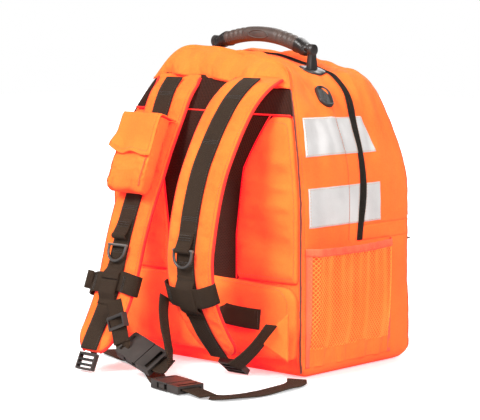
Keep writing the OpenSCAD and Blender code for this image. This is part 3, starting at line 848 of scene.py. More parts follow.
def cushion(name, loop, middle, base, height, relief, fill, **more):
    """A closed pad with a crowned face, a flat back and a sewn edge."""
    front = cushion_grid(loop, middle, base, height, relief=relief)
    n, m = front.shape[:2]
    back = front.copy()
    back[..., 1] = base(front[..., 0], front[..., 2]) + 0.2
    verts = np.concatenate([front.reshape(-1, 3), back[:, 1:].reshape(-1, 3)])
    faces = grid_faces(n, m, True).tolist()
    faces.append([i * m + m - 1 for i in range(n)][::-1])
    k = n * m

    def low(i, j):
        return i * m if j == 0 else k + i * (m - 1) + j - 1

    for i in range(n):
        l = (i + 1) % n
        faces += [(low(i, j), low(i, j + 1), low(l, j + 1), low(l, j)) for j in range(m - 1)]
    faces.append([low(i, m - 1) for i in range(n)])
    uv = verts[:, ::2]
    piece = new_mesh(name, verts, faces, ORANGE, "bag", uv, slot="orange_cloth", **more)
    hold = np.concatenate([np.repeat(np.array([[1.0, 0.6] + [0.0] * (m - 2)]), n, 0).ravel(),
                           np.ones(n * (m - 1))])
    inflate(piece, hold, 2.2, 5.0)
    return front


def seam_on(front, ring, name):
    """A row of stitches along one ring of a pad's face."""
    path = np.concatenate([front[:, ring], front[:1, ring]])
    out = grid_normals(front, True)[:, ring]
    out = np.concatenate([out, out[:1]])
    out *= np.sign(-out[:, 1:2] + 1e-6)
    plain_piece(name, thread_data(path + out * 0.2, out, 2.6), ORANGE_THREAD, "bag")


def around(points, corner=3, n=150):
    """A closed outline through corner points with softened corners."""
    p = np.asarray(points, float)
    dense = resample(np.vstack([p, p[:1]]), n + 1)[:-1]
    for _ in range(corner):
        dense = (np.roll(dense, 1, 0) + 2 * dense + np.roll(dense, -1, 0)) / 4
    return dense


def column_edge(z):
    """Half width of the air-mesh column between the back pads."""
    return np.interp(z, [116, 178, 265, 333], [60, 60, 72, 105])


def side_edge(z):
    """Half width of the arch at a height, 6 mm inside its edge."""
    side = HALF[:, 0] > 60
    return np.interp(z, HALF[side][:, 1], HALF[side][:, 0]) - 6


def slack_pad(p):
    """Broad cross folds of the lightly filled back pads."""
    return (rough(p * (0.6, 1, 1.6), 46, 31.0) * 3.6 + rough(p * (0.5, 1, 2.4), 24, 4.0) * 1.6
            + 1.4 * np.exp(-((p[..., 2] - 214) / 9) ** 2) - 2.2 * np.exp(-((p[..., 2] - 176) / 6) ** 2))


def back_pads():
    """Two lightly filled pads beside the air mesh, and the lumbar pad under them."""
    heights = np.linspace(121, 331, 24)
    for side, name in ((-1, "left"), (1, "right")):
        inner = [(side * (column_edge(z) + 1.5), z) for z in heights]
        outer = [(side * side_edge(z), z) for z in heights[::-1]]
        loop = around(inner + outer, 4, 170)
        if side < 0:
            loop = loop[::-1]
        middle = (side * 112, 222)
        grid = cushion(f"back_pad_{name}_cloth", loop[::-1], middle, lambda x, z: lean(z) - 0.4, 10.0,
                       slack_pad, 0.55, replaces=(f"back_pad_{name}",))
        seam_on(grid, 3, f"back_pad_{name}_stitches")
    loop = around([(-160, 24), (-163, 60), (-164, 104), (-150, 117), (-60, 120), (0, 122), (60, 120),
                   (150, 117), (164, 104), (163, 60), (160, 24), (60, 21), (-60, 21)], 4, 200)

    def folds(p):
        low = ease((70 - p[..., 2]) / 50)
        fine = rough(p * (1.6, 1, 0.6), 22, 2.0) * 2.0
        return rough(p * (0.7, 1, 1.2), 52, 17.0) * 3.2 + fine * (0.4 + 0.6 * low)

    grid = cushion("lumbar_pad_cloth", loop, (0, 72), lambda x, z: lean(z) - 0.3 + 0 * x, 14.5, folds, 0.7,
                   replaces=("lumbar_pad",))
    seam_on(grid, 3, "lumbar_stitches")


back_pads()


def mesh_column():
    """Air mesh: a column between the pads and a band across the top, gently crowned."""
    def patch(name, zs, half, lift, columns=26, replaces=()):
        t = np.linspace(-1, 1, columns)
        p = np.zeros((columns, len(zs), 3))
        for j, z in enumerate(zs):
            p[:, j, 0] = t * half(z)
            rise = lift * (1 - np.abs(t) ** 3)
            p[:, j, 1] = lean(z) - 1.2 - rise
            p[:, j, 2] = z
        p[..., 1] -= rough(p, 40, 9.0) * 0.8
        p = sagged(p)
        return skin_piece(name, p, AIR_MESH, "bag", 1.0, slot="spacer_mesh", replaces=replaces)

    patch("mesh_column_cloth", np.linspace(117, 334, 60), lambda z: column_edge(z) + 1.5, 2.6,
          replaces=("mesh_panel",))
    patch("mesh_band_cloth", np.linspace(334, 377, 16), lambda z: side_edge(z) + 2, 1.6, 60)
    band = np.array([(x, lean(334) - 3.0, 334.0) for x in np.linspace(-side_edge(334), side_edge(334), 70)])
    # piping in the orange's shaded red: painted shade along the mesh's edges
    plain_piece("mesh_piping", tube_data(sagged(band), 1.3), SHADE_RED_CLOTH, "bag", slot="orange_cloth")
    for side, name in ((-1, "left"), (1, "right")):
        zs = np.linspace(121, 333, 60)
        line = np.stack([side * (column_edge(zs) + 0.8), lean(zs) - 3.2, zs], 1)
        plain_piece(f"column_piping_{name}", tube_data(line, 1.1), SHADE_RED_CLOTH, "bag", slot="orange_cloth")


mesh_column()


def yoke():
    """Gathered top of the back: soft folds fan out of the straps' seam and over the top edge."""
    n_x, n_z = 150, 46
    low_z = 372.0
    a, _ = outline(np.linspace(at_height(low_z), ROUND - at_height(low_z), n_x))
    t = np.linspace(0, 1, n_z)
    p = np.zeros((n_x, n_z, 3))
    x_low = np.linspace(side_edge(low_z) + 3, -side_edge(low_z) - 3, n_x)
    for j, k in enumerate(t):
        x = x_low * (1 - k) + (a[:, 0] * 0.995) * k
        z = low_z * (1 - k) + (a[:, 1] - 1.0) * k
        p[:, j] = np.stack([x, lean(z) - 1.0, z], 1)
    x, z = p[..., 0], p[..., 2]
    fan = np.abs(x) - 70
    spread = np.arctan2(z - 330, np.abs(x) * 0.55 + 30)
    folds = (np.sin(fan / 8.5 + 4.2 * spread) * 2.6 + np.sin(x / 13.3 + z / 15 + 1.3) * 1.8
             + rough(p * (1.3, 1, 0.4), 24, 40.0) * 3.4 + rough(p * (1.8, 1, 0.7), 11, 7.0) * 1.1)
    roll = 6.5 * np.sin(np.pi * np.clip(t * 1.15, 0, 1)) ** 0.6
    ends = ease((side_edge(low_z) + 6 - np.abs(x)) / 22)
    edge = ease(np.minimum(t / 0.10, (1 - t) / 0.12))
    gather = 0.35 + 0.65 * ease((1 - t) / 0.8)
    p[..., 1] -= (roll + folds * gather) * edge * ends + 1.2
    p = sagged(p)
    skin_piece("yoke_cloth", p, ORANGE, "bag", 1.6, slot="orange_cloth", replaces=("yoke",))
    out = grid_normals(p)
    plain_piece("yoke_stitches", thread_data(p[:, 3] + (0, -0.3, 0), out[:, 3], 2.4), ORANGE_THREAD, "bag")


yoke()


def seam_piping():
    """Piping along the back seam of the strip, its dark colour a painted shadow of the seam's groove, and a
    finer one along its front seam.
    """
    s = ROWS[(outline(ROWS)[0][:, 1] > 6)]
    a, n = outline(s)
    back = lean(a[:, 1])
    line = gusset(s, back + 0.6, 0.9)
    line[:, 1] -= 0.8
    plain_piece("back_piping", tube_data(line, 1.15), SEAM_SHADOW_PIPING, "bag", slot="orange_cloth")
    zone = a[:, 1] > FOLD_Z
    front = front_ring(s, seam_inset(n))[0][:, 1]
    edge = gusset(s, front - 0.4, 0.7)
    for name, keep, body in (("front_piping_lid", zone, "lid"),
                             ("front_piping_right", ~zone & (a[:, 0] > 0), "bag"),
                             ("front_piping_left", ~zone & (a[:, 0] < 0), "bag")):
        plain_piece(name, tube_data(edge[keep], 0.9), ORANGE_THREAD, body, slot="orange_cloth")
    keep = a[:, 1] > 20
    path = gusset(s, back + 4.6, 0.25)[keep]
    out = unit(np.stack([n[:, 0], 0 * n[:, 0], n[:, 1]], 1))[keep]
    plain_piece("back_seam_stitches", thread_data(path, out, 2.6), ORANGE_THREAD, "bag")


seam_piping()


def lumbar_loop():
    """Webbing handle on the lumbar pad, sewn at both ends, with a fold at its inner end."""
    x = np.array([40, 44, 52, 64, 78, 92, 104, 110, 112.0])
    y = np.array([-13.5, -15.5, -18.5, -20.6, -20.8, -19.6, -16.8, -14.8, -13.8])
    z = 76 + (x - 76) * -0.06
    path = smooth(np.stack([x, y - 1.2, z], 1), 5)
    hint = np.tile([0.0, -1.0, 0.12], (len(path), 1))
    hint[:, 2] += 0.5 * np.exp(-((path[:, 0] - 46) / 9) ** 2)
    mapped_piece("lumbar_loop_webbing", strap_data(path, hint, 26.0), WEBBING, "bag", slot="webbing",
                 replaces=("lumbar_loop",))
    rows = []
    for x0 in (43.0, 108.0):
        for dx in (-2.2, 2.2):
            line = np.array([(x0 + dx, -17.6, 76 - 0.06 * (x0 - 76) + dz) for dz in np.linspace(-11, 11, 12)])
            rows.append(thread_data(line, np.tile([0, -1.0, 0], (12, 1)), 1.8, 0.5, 0.4))
    plain_piece("lumbar_loop_stitches", join_data(rows), BLACK_THREAD, "bag")


lumbar_loop()

# ---------------------------------------------------------------- shoulder straps

RIGHT_SIDE = [(36, 377), (22, 373), (2, 363), (-20, 346), (-40, 322), (-58, 295), (-76, 262), (-89, 225),
              (-98, 185), (-102, 148), (-94, 107), (-70, 64), (-42, 30)]
LEFT_SIDE = [(38, 378), (30, 371), (14, 352), (0, 322), (-18, 284), (-35, 245), (-52, 208), (-66, 172),
             (-76, 140), (-88, 103), (-106, 68), (-122, 42), (-131, 26)]
RIGHT_PLAN = [(70, 400, 40), (71, 340, 40), (73, 280, 39), (73, 200, 39), (73, 120, 38), (73, 60, 34),
              (74, 10, 29)]
LEFT_PLAN = [(-70, 400, 39), (-74, 340, 38), (-76, 280, 37), (-76, 200, 36), (-75, 120, 35), (-75, 60, 33),
             (-75, 5, 29)]
WEB_X = {"left": -76.0, "right": 72.0}
BAND_AT = {"left": 108, "right": 112}
RING_AT = 168
WEB_W = 30.0
PAD_HALF = 6.0


def strap_line(side, n=170):
    """Middle of a strap as points with directions: across is +X, out is away from the bag."""
    route = smooth(RIGHT_SIDE if side == "right" else LEFT_SIDE, 8)
    route = resample(route, n)
    p = np.stack([0 * route[:, 0], route[:, 0], route[:, 1]], 1)
    t = tangents(p)
    out = np.stack([0 * t[:, 0], t[:, 2], -t[:, 1]], 1)
    plan = np.array(RIGHT_PLAN if side == "right" else LEFT_PLAN, float)[::-1]
    middle = np.interp(p[:, 2], plan[:, 1], plan[:, 0])
    half = np.interp(p[:, 2], plan[:, 1], plan[:, 2])
    return p, t, out, middle, half


def strap_at(side, z, x, off):
    """Point of a strap at a height, with its direction and outward normal."""
    p, t, out, _, _ = strap_line(side)
    i = int(np.argmax(p[:, 2] <= z))
    return p[i] + out[i] * off + (x, 0, 0), t[i], out[i]


def strap_pad(side):
    """A foam strap with crowned lobes beside its webbing and cross wrinkles where it bends."""
    p, _, out, middle, half = strap_line(side)
    web = WEB_X[side]
    n, m = len(p), 27
    s = lengths(p)
    left = s[-1] - s
    narrow = np.sqrt(np.clip(1 - (1 - np.clip(left / 26, 0, 1)) ** 2 * 0.75, 0, 1))
    thin = 0.45 + 0.55 * ease(s / 34)
    thin *= 0.6 + 0.4 * ease(left / 16)
    a = np.sin(np.linspace(-1, 1, m) * math.pi / 2)
    width = half * narrow - 1.0
    x = middle[:, None] + width[:, None] * a
    q = p[:, None] + np.zeros((n, m, 3))
    q[..., 0] = x
    crown_h = 2.0 + (PAD_HALF - 2.3) * (1 - np.abs(a) ** 3.6) ** 0.55
    from_web = np.abs(x - web)
    lobe = ease((from_web - 15) / 9)
    seed = 9.0 if side == "left" else 47.0
    key = np.stack([x * 0.25, np.zeros_like(x) + s[:, None], np.full_like(x, seed)], -1)
    fold = rough(key, 15, 3.0) * 0.9 + rough(key * (1.7, 1, 1), 31, 6.0) * 1.1
    sharp = -1.5 * np.abs(rough(key * (0.6, 1, 1), 19, 14.0)) + 0.5
    face = crown_h + lobe * (fold + sharp + 1.3) * (1 - np.abs(a) ** 6)
    face = np.minimum(face, PAD_HALF + 2.4)
    face = np.where(from_web < 15.4, np.minimum(face, PAD_HALF - 0.1), face)
    rear = -(crown_h + 0.6 * fold * (1 - np.abs(a) ** 6))
    top = q + out[:, None] * (face * thin[:, None])[..., None]
    low = q + out[:, None] * (rear * thin[:, None])[..., None]
    for g in (top, low):
        limit = lean(g[..., 2]) - 4.4
        g[..., 1] = np.where(g[..., 2] > 296, np.minimum(g[..., 1], limit - (g is top) * 2.0), g[..., 1])
    ring = np.concatenate([top, low[:, ::-1][:, 1:-1]], 1)
    k = ring.shape[1]
    verts = ring.reshape(-1, 3)
    faces = []
    for i in range(n - 1):
        for j in range(k):
            l = (j + 1) % k
            faces.append((i * k + j, (i + 1) * k + j, (i + 1) * k + l, i * k + l))
    faces += [tuple(range(k)), tuple((n - 1) * k + j for j in range(k))[::-1]]
    uv = np.stack([ring[..., 0], s[:, None] + 0 * ring[..., 0]], -1).reshape(-1, 2)
    piece = new_mesh(f"shoulder_pad_{side}_cloth", verts, faces, ORANGE, "bag", uv, slot="orange_cloth",
                     replaces=(f"shoulder_pad_{side}",))
    weight = np.ones((n, k))
    weight[:, :m] = np.where(from_web < 17, 1.0, np.where(np.abs(a) > 0.93, 1.0, 0.15))
    weight[:10] = 1
    weight[-6:] = 1
    inflate(piece, weight.ravel(), 2.0, 2.2)
    for edge, name in ((0, "outer"), (m - 1, "inner")):
        rim = (top[:, edge] + low[:, edge]) / 2
        rim[:, 0] += 0.4 * np.sign(rim[:, 0] - middle)
        # the bindings are real parts coloured in the orange's shaded red: painted shade on the strap edges
        plain_piece(f"shoulder_binding_{side}_{name}", tube_data(rim[2:], 2.1, 8), SHADE_RED_CLOTH, "bag",
                    slot="orange_cloth")
        inside = 3 if edge == 0 else m - 4
        path = top[3:, inside]
        plain_piece(f"shoulder_stitches_{side}_{name}", thread_data(path + out[3:] * 0.15, out[3:], 2.8),
                    ORANGE_THREAD, "bag")
    return top


def strap_webbing(side):
    """Webbing sewn down the middle of a strap, with a row of stitches near each edge and bar tacks."""
    p, _, out, _, _ = strap_line(side)
    web = WEB_X[side]
    keep = p[:, 2] < 371
    q = p + out * (PAD_HALF + 1.0)
    q[:, 0] = web
    limit = lean(q[:, 2]) - 8.2
    q[:, 1] = np.where(q[:, 2] > 296, np.minimum(q[:, 1], limit), q[:, 1])
    q = q[keep]
    o = out[keep]
    s = lengths(q)
    q += o * (rough(np.stack([s * 0, s, s * 0 + web], 1), 40, 2.0) * 0.35)[:, None]
    data = strap_data(q, o, WEB_W)
    mapped_piece(f"strap_webbing_{side}_band", data, WEBBING, "bag", slot="webbing",
                 replaces=(f"strap_webbing_{side}",))
    rows = []
    for x in (-12.8, 12.8):
        path = q + o * 0.95
        path[:, 0] += x
        rows.append(thread_data(path, o, 2.4, 1.0))
    for height in (354, 300, 206, 150, 124, 96):
        i = int(np.argmax(q[:, 2] <= height))
        for step in (0, 2.2, 4.4):
            base = q[i] + o[i] * 0.95 - tangents(q)[i] * step
            line = base + np.linspace(-12.5, 12.5, 16)[:, None] * np.array([1.0, 0, 0])
            rows.append(thread_data(line, np.tile(o[i], (16, 1)), 1.6, 0.3, 0.42))
    plain_piece(f"strap_webbing_stitches_{side}", join_data(rows), BLACK_THREAD, "bag", slot="webbing")


for strap in ("left", "right"):
    strap_pad(strap)
    strap_webbing(strap)

# ---------------------------------------------------------------- webbing fittings


def hard(node, material, width=0.7, segments=3):
    """A CAD solid of the right shape keeps its place and gets rounded edges and its material."""
    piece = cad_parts[node]
    piece.data.materials.clear()
    piece.data.materials.append(material)
    edge = piece.modifiers.new("edges", "BEVEL")
    edge.width = width * MM
    edge.segments = segments
    edge.limit_method = "ANGLE"
    edge.angle_limit = math.radians(32)
    edge.harden_normals = True
    piece.data.polygons.foreach_set("use_smooth", [True] * len(piece.data.polygons))
    return piece


def ring_loop(side):
    """A folded webbing loop that holds the D-ring, sewn down above it."""
    web = WEB_X[side]
    bar, t, out = strap_at(side, RING_AT, web, 8 + 4.6)
    up = -t
    start = bar + up * 2.9 * math.cos(2.0) - out * 2.9 * math.sin(2.0)
    face = strap_at(side, RING_AT + 22, web, 8.9)[0]
    mid = (start + face) / 2 + out * 0.4
    front = [face, mid + out * 1.6] + [bar + up * 3.1 * math.cos(a) + out * 3.1 * math.sin(a)
                                       for a in np.linspace(0.5, 3.3, 10)]
    path = smooth(np.array(front), 3)
    hint = np.array([unit(q - bar) if np.linalg.norm(q - bar) < 5.5 else out for q in path])
    data = strap_data(path, hint, 25.0, 1.7)
    stitches = []
    for d in (13.0, 16.0, 19.0):
        base = bar + up * d - out * 1.6
        line = base + np.linspace(-11, 11, 14)[:, None] * np.array([1.0, 0, 0])
        stitches.append(thread_data(line + out * 1.0, np.tile(out, (14, 1)), 1.6, 0.3, 0.42))
    return data, join_data(stitches)


def ring_loops():
    """The two loops that hold the D-rings."""
    made = [ring_loop(side) for side in ("left", "right")]
    data = join_data([m[0] for m in made])
    mapped_piece("ring_loops_webbing", data, WEBBING, "bag", slot="webbing", replaces=("ring_loops",))
    plain_piece("ring_loops_stitches", join_data([m[1] for m in made]), BLACK_THREAD, "bag", slot="webbing")


def wrap_band(side, height):
    """A webbing band wrapped round a strap, with its tail sewn on the face."""
    centre, t, out = strap_at(side, height, WEB_X[side], 0.0)
    up, along = -t, np.array([1.0, 0, 0])
    a, b = 41.0, 9.6
    turns = []
    for k in np.linspace(0, 2 * math.pi, 73)[:-1]:
        c, s = math.cos(k), math.sin(k)
        x = a * np.sign(c) * abs(c) ** 0.62
        y = b * np.sign(s) * abs(s) ** 0.7
        turns.append((x, y))
    turns = np.array(turns + turns[:1])
    bulge = 1.0 * np.cos(turns[:, 0] / a * math.pi / 2)
    path = centre + turns[:, :1] * along + (turns[:, 1:] + bulge[:, None] * np.sign(turns[:, 1:])) * out
    droop = 3.6 * (turns[:, :1] / a) ** 2 * (1 if side == "left" else -1) - 1.5
    path += up * (0.05 * turns[:, :1] - droop)
    path += up * 1.8 * rough(path, 24, 4.0)[:, None] + out * 1.1 * (1 + rough(path, 17, 9.0))[:, None]
    hint = unit(turns[:, :1] * 0.35 * along + turns[:, 1:] * 4.0 * out)
    stitches = []
    for x0 in (-30.0, 22.0):
        for dx in (0.0, 2.4):
            line = centre + (x0 + dx, 0, 0) + out * (b + 2.0) + up * np.linspace(-12, 12, 14)[:, None]
            stitches.append(thread_data(line, np.tile(out, (14, 1)), 1.8, 0.4, 0.42))
    return strap_data(path, hint, 27.0), join_data(stitches)


def over_band(side, height):
    """The strap's webbing where it passes over its cross band."""
    step = np.linspace(-26, 26, 27)
    rise = 8.2 + 5.8 * ease((21 - np.abs(step)) / 9)
    line = np.array([strap_at(side, height + d, WEB_X[side], r)[0] for d, r in zip(step, rise)])
    out = strap_at(side, height, WEB_X[side], 0.0)[2]
    return strap_data(line, np.broadcast_to(out, line.shape), WEB_W)


def cross_bands():
    """A band round each strap, the strap's webbing over it, and the left one's loose end."""
    made = [wrap_band(side, height) for side, height in BAND_AT.items()]
    made += [(over_band(side, height), None) for side, height in BAND_AT.items()]
    centre, _, out = strap_at("left", BAND_AT["left"], WEB_X["left"], 0.0)
    side = np.array([[36.0, 9.0], [42.0, 11.5], [47.5, 9.0], [52.0, 3.5], [54.5, -2.5], [54.0, -7.0]])
    path = smooth(centre - side[:, :1] * np.array([1.0, 0, 0]) + side[:, 1:] * out, 5)
    path += np.array([0, 0, 1.0]) * np.linspace(0, 4.0, len(path))[:, None]
    hint = np.broadcast_to(out + np.array([-0.9, 0, 0]), path.shape)
    made.append((strap_data(path, hint, 24.0), None))
    data = join_data([m[0] for m in made])
    mapped_piece("cross_bands_webbing", data, WEBBING, "bag", slot="webbing", replaces=("cross_bands",))
    threads = join_data([m[1] for m in made if m[1]])
    plain_piece("cross_bands_stitches", threads, BLACK_THREAD, "bag", slot="webbing")


ring_loops()
cross_bands()
for node in ("d_ring_left", "d_ring_right"):
    hard(node, METAL, 0.2, 2)
for node in ("ladder_lock_left", "ladder_lock_right", "tri_glide"):
    hard(node, PLASTIC, 0.9)
for buckle in ("sternum", "waist"):
    hard(f"{buckle}_female", PLASTIC, 1.1)
    hard(f"{buckle}_male", PLASTIC, 0.9)
for node in ("sternum_arm_upper", "sternum_arm_lower", "waist_arm_front", "waist_arm_rear"):
    hard(node, PLASTIC, 0.7)


def along_strip(a, b, width, roll_out, sag_by=2.0):
    """A slack webbing strip between two points."""
    a, b = np.array(a, float), np.array(b, float)
    t = np.linspace(0, 1, 24)
    path = a + (b - a) * t[:, None]
    path[:, 2] -= sag_by * np.sin(math.pi * t)
    hint = np.broadcast_to(np.asarray(roll_out, float), path.shape)
    return strap_data(path, hint, width, 1.8)


def anchor_wings():
    """Triangles of cloth sewn into the side seams, with the lower webbing sewn on them."""
    data, threads = [], []
    for sign in (-1, 1):
        turn = math.radians(204)
        origin = np.array([HALF_W - 6, -19.4, 26.0])
        ux = np.array([math.cos(turn), math.sin(turn), 0])
        low, high, tip = np.array([0.0, 0.0]), np.array([0.0, 62.0]), np.array([38.0, 26.0])
        rows = []
        for j in np.linspace(0, 1, 14):
            start, end = low + (tip - low) * j, high + (tip - high) * j
            rows.append([start + (end - start) * i for i in np.linspace(0, 1, 16)])
        g = np.array(rows)
        p = origin + g[..., :1] * ux + g[..., 1:] * np.array([0, 0, 1.0])
        side = np.array([-ux[1], ux[0], 0])
        puff = np.sin(math.pi * np.linspace(0.1, 1, 14))[:, None] * np.sin(math.pi * np.linspace(0, 1, 16))
        p += side * (1.2 * puff + 0.4 * rough(p, 14, 7.0))[..., None]
        p[..., 0] *= sign
        n = grid_normals(p) * sign
        v, f, t = thicken(p.reshape(-1, 3), grid_faces(14, 16), n.reshape(-1, 3), 2.2,
                          grid_uv(p).reshape(-1, 2))
        data.append((v, f, t))
        for edge in (p[:, 1], p[:, -2]):
            out = np.tile(unit(np.array([-0.3 * sign, -1.0, 0])), (14, 1))
            threads.append(thread_data(edge[:12] + out[:12] * 1.3, out[:12], 2.6))
    v, f, t = join_data(data)
    new_mesh("anchor_wings_cloth", v, f, ORANGE, "bag", t, slot="orange_cloth", replaces=("anchor_wings",))
    plain_piece("anchor_wings_stitches", join_data(threads), ORANGE_THREAD, "bag", slot="orange_cloth")


anchor_wings()


def lower_webbing():
    """The adjusting webbing from each anchor wing to its ladder lock."""
    right = along_strip((152, -37, 74), (102, -53, 17), 25, (0.96, 0.1, 0.35), 5.0)
    left = along_strip((-150, -36, 64), (-87, -124, 25), 25, (0.75, 0.45, 0.5), 3.0)
    for name, data in (("right", right), ("left", left)):
        mapped_piece(f"lower_webbing_{name}_band", data, WEBBING, "bag", slot="webbing",
                     replaces=(f"lower_webbing_{name}",))


lower_webbing()

# ---------------------------------------------------------------- side pockets

NET = orange_cloth("pocket_mesh", (1.0, 0.40, 0.05, 1), (1.0, 0.60, 0.12, 1), 0.45)
BINDING = orange_cloth("pocket_binding", (0.95, 0.13, 0.05, 1), (1.0, 0.24, 0.09, 1), 0.9)
POCKET_Y = (7.0, 177.0)
NET_Z = (37.0, 160.0)


def pocket_face(y, z, sign):
    """Surface of a side pocket: slack cloth drawn in at its seams and gathered by the elastic."""
    y, z = np.broadcast_arrays(np.asarray(y, float), np.asarray(z, float))
    across = np.clip((y - POCKET_Y[0]) / (POCKET_Y[1] - POCKET_Y[0]), 0, 1)
    up = np.clip((z - 14) / (NET_Z[1] - 14), 0, 1)
    hold = np.minimum(1, np.minimum(across, 1 - across) / 0.10)
    hold = np.sin(hold * math.pi / 2)
    body = 1.2 + 10.2 * ease(up / 0.45) * (0.82 + 0.18 * up)
    wave = np.sin(y / 2.9 + 0.9 * np.sin(y / 17)) * (0.25 + 0.75 * up ** 2)
    wave += np.sin(y / 6.1 + 1.7 + z / 60) * 1.3 * (1 - 0.5 * up)
    foot = np.sin(y / 3.7 + 0.6 * np.sin(y / 9)) * ease((52 - z) / 30) * 1.1
    lumps = rough(np.stack([y * 0 + sign * 3, y, z * 0.5], -1), 34, 2.0) * 1.8
    off = hold * (body + wave + foot + lumps * up)
    x = HALF_W + np.clip(off, 0.4, 13.2)
    return np.stack([x * sign, y, z + 0 * x], -1)


def net(name, sign):
    """Diamond netting as real threads."""
    step = 4.6
    cols = int((POCKET_Y[1] - POCKET_Y[0] - 5) / step)
    rows = int((NET_Z[1] - NET_Z[0]) / (step * 0.62))
    points, index = [], {}

    def vert(i, j):
        """Lattice point: i counts half pitches across and j half pitches up."""
        if (i, j) not in index:
            index[i, j] = len(points)
            points.append((POCKET_Y[0] + 2.5 + i * step / 2, NET_Z[0] + j * step * 0.62))
        return index[i, j]

    faces = []
    for j in range(0, rows - 1):
        for i in range(0, 2 * cols - 1):
            if (i + j) % 2 == 0:
                faces.append((vert(i, j + 1), vert(i + 1, j), vert(i + 2, j + 1), vert(i + 1, j + 2)))
    grid = np.array(points)
    p = pocket_face(grid[:, 0], grid[:, 1], sign)
    if sign < 0:
        faces = [f[::-1] for f in faces]
    piece = new_mesh(name, p, faces, NET, "bag", grid, slot="pocket_mesh",
                     replaces=(f"side_pocket_{'right' if sign > 0 else 'left'}",))
    wire = piece.modifiers.new("threads", "WIREFRAME")
    wire.thickness = 1.2 * MM
    wire.offset = 0
    wire.use_even_offset = False
    return piece


def side_pocket(sign):
    """A net pocket on one side, with a cloth foot and a binding down each edge."""
    side = "right" if sign > 0 else "left"
    net(f"pocket_net_{side}", sign)
    ys = np.linspace(*POCKET_Y, 110)
    zs = np.concatenate([np.linspace(15, 34, 12), np.linspace(36, 39.5, 3)])
    low = pocket_face(ys[:, None], zs[None], sign)
    crease = rough(low * (1, 1, 0.35), 9, 3.3) * 1.2 * ease((zs - 14) / 8)[None]
    low[..., 0] += np.clip(crease, -0.8, 1.2) * sign
    low[..., 0] = sign * np.maximum(np.abs(low[..., 0]), HALF_W + 0.4)
    skin_piece(f"pocket_gusset_{side}", low if sign > 0 else low[::-1], ORANGE, "bag", 1.0,
               slot="orange_cloth")
    for y0, y1, name in ((POCKET_Y[0] - 0.5, POCKET_Y[0] + 6, "rear"),
                         (POCKET_Y[1] - 6, POCKET_Y[1] + 0.5, "front")):
        strip_y = np.linspace(y0, y1, 8)
        strip = pocket_face(strip_y[:, None], np.linspace(15, 160, 60)[None], sign)
        strip[..., 0] += 0.6 * sign
        skin_piece(f"pocket_edge_{side}_{name}", strip if sign > 0 else strip[::-1], BINDING, "bag", 1.0,
                   slot="orange_cloth")
    n = 300
    y = np.linspace(POCKET_Y[0] - 1, POCKET_Y[1] + 1, n)
    mouth = pocket_face(np.clip(y, *POCKET_Y), np.full(n, NET_Z[1]), sign)
    mouth[:, 1] = y
    mouth[:, 2] = 162.2 - 2.0 * np.sin(math.pi * np.linspace(0, 1, n))
    mouth[:, 0] += 0.5 * sign
    rib = 0.42 * np.sin(np.arange(n) * 2 * math.pi / 5)
    across, out = frames(mouth, (sign, 0, 0))
    section = np.array(flat_section(10.0, 2.3, 0.45))
    section = np.repeat(section[None], n, 0) * (1 + np.stack([rib * 0.02, rib * 0.28], -1)[:, None])
    data = sweep_data(mouth, across, out, section)
    threads = thread_data(mouth + out * 1.5 - across * 2.4 * sign, out, 2.4)
    return data, threads


def side_pockets():
    """Both net pockets, with all their bindings in one piece."""
    made = [side_pocket(sign) for sign in (1, -1)]
    data = join_data([m[0] for m in made])
    mapped_piece("pocket_bindings_elastic", data, BINDING, "bag", slot="orange_cloth",
                 replaces=("pocket_bindings",))
    plain_piece("pocket_binding_stitches", join_data([m[1] for m in made]), ORANGE_THREAD, "bag",
                slot="orange_cloth")


side_pockets()

# ---------------------------------------------------------------- reflective tapes


def on_front(x, z, lift=0.0):
    """Points of the finished front at given x and z, raised by lift."""
    if not hasattr(on_front, "tree"):
        parts = [SHELL[k].data for k in ("bag_front", "fold_front", "lid_front")]
        verts, faces = [], []
        for mesh in parts:
            base = len(verts)
            verts += [v.co.copy() for v in mesh.vertices]
            faces += [[base + i for i in f.vertices] for f in mesh.polygons]
        on_front.tree = BVHTree.FromPolygons(verts, faces)
    x, z = np.broadcast_arrays(np.asarray(x, float), np.asarray(z, float))
    out = np.zeros(x.shape + (3,))
    for k in np.ndindex(x.shape):
        start = Vector(to_frame((x[k], 600.0, z[k])))
        hit, _, _, _ = on_front.tree.ray_cast(start, Vector((0, -1, 0)))
        y = hit.y / MM - BACK if hit else DEPTH
        out[k] = (x[k], y + lift, z[k])
    return out


def hem(p, out):
    """Stitches just inside the four edges of a patch."""
    rows = []
    for path, o in ((p[1], out[1]), (p[-2], out[-2]), (p[:, 1], out[:, 1]), (p[:, -2], out[:, -2])):
        rows.append(thread_data(path + o * 0.12, o, 2.6, 1.2, 0.28))
    return join_data(rows)


def tape_patch(s, y):
    """Reflective tape lying on the side of the bag, its edges just turned down."""
    p = gusset(s, y, 1.0)
    n_s, n_y = p.shape[:2]
    u = np.minimum(np.linspace(0, 1, n_s), np.linspace(1, 0, n_s))[:, None]
    v = np.minimum(np.linspace(0, 1, n_y), np.linspace(1, 0, n_y))[None]
    edge = np.minimum(u / 0.02, v / 0.015)
    out = outline(s)[1]
    out = np.broadcast_to(np.stack([out[..., 0], 0 * out[..., 0], out[..., 1]], -1), p.shape)
    p = p + out * (rough(p, 16, 5.0) * 0.35 - 0.35 * (1 - ease(edge)))[..., None]
    return p, out


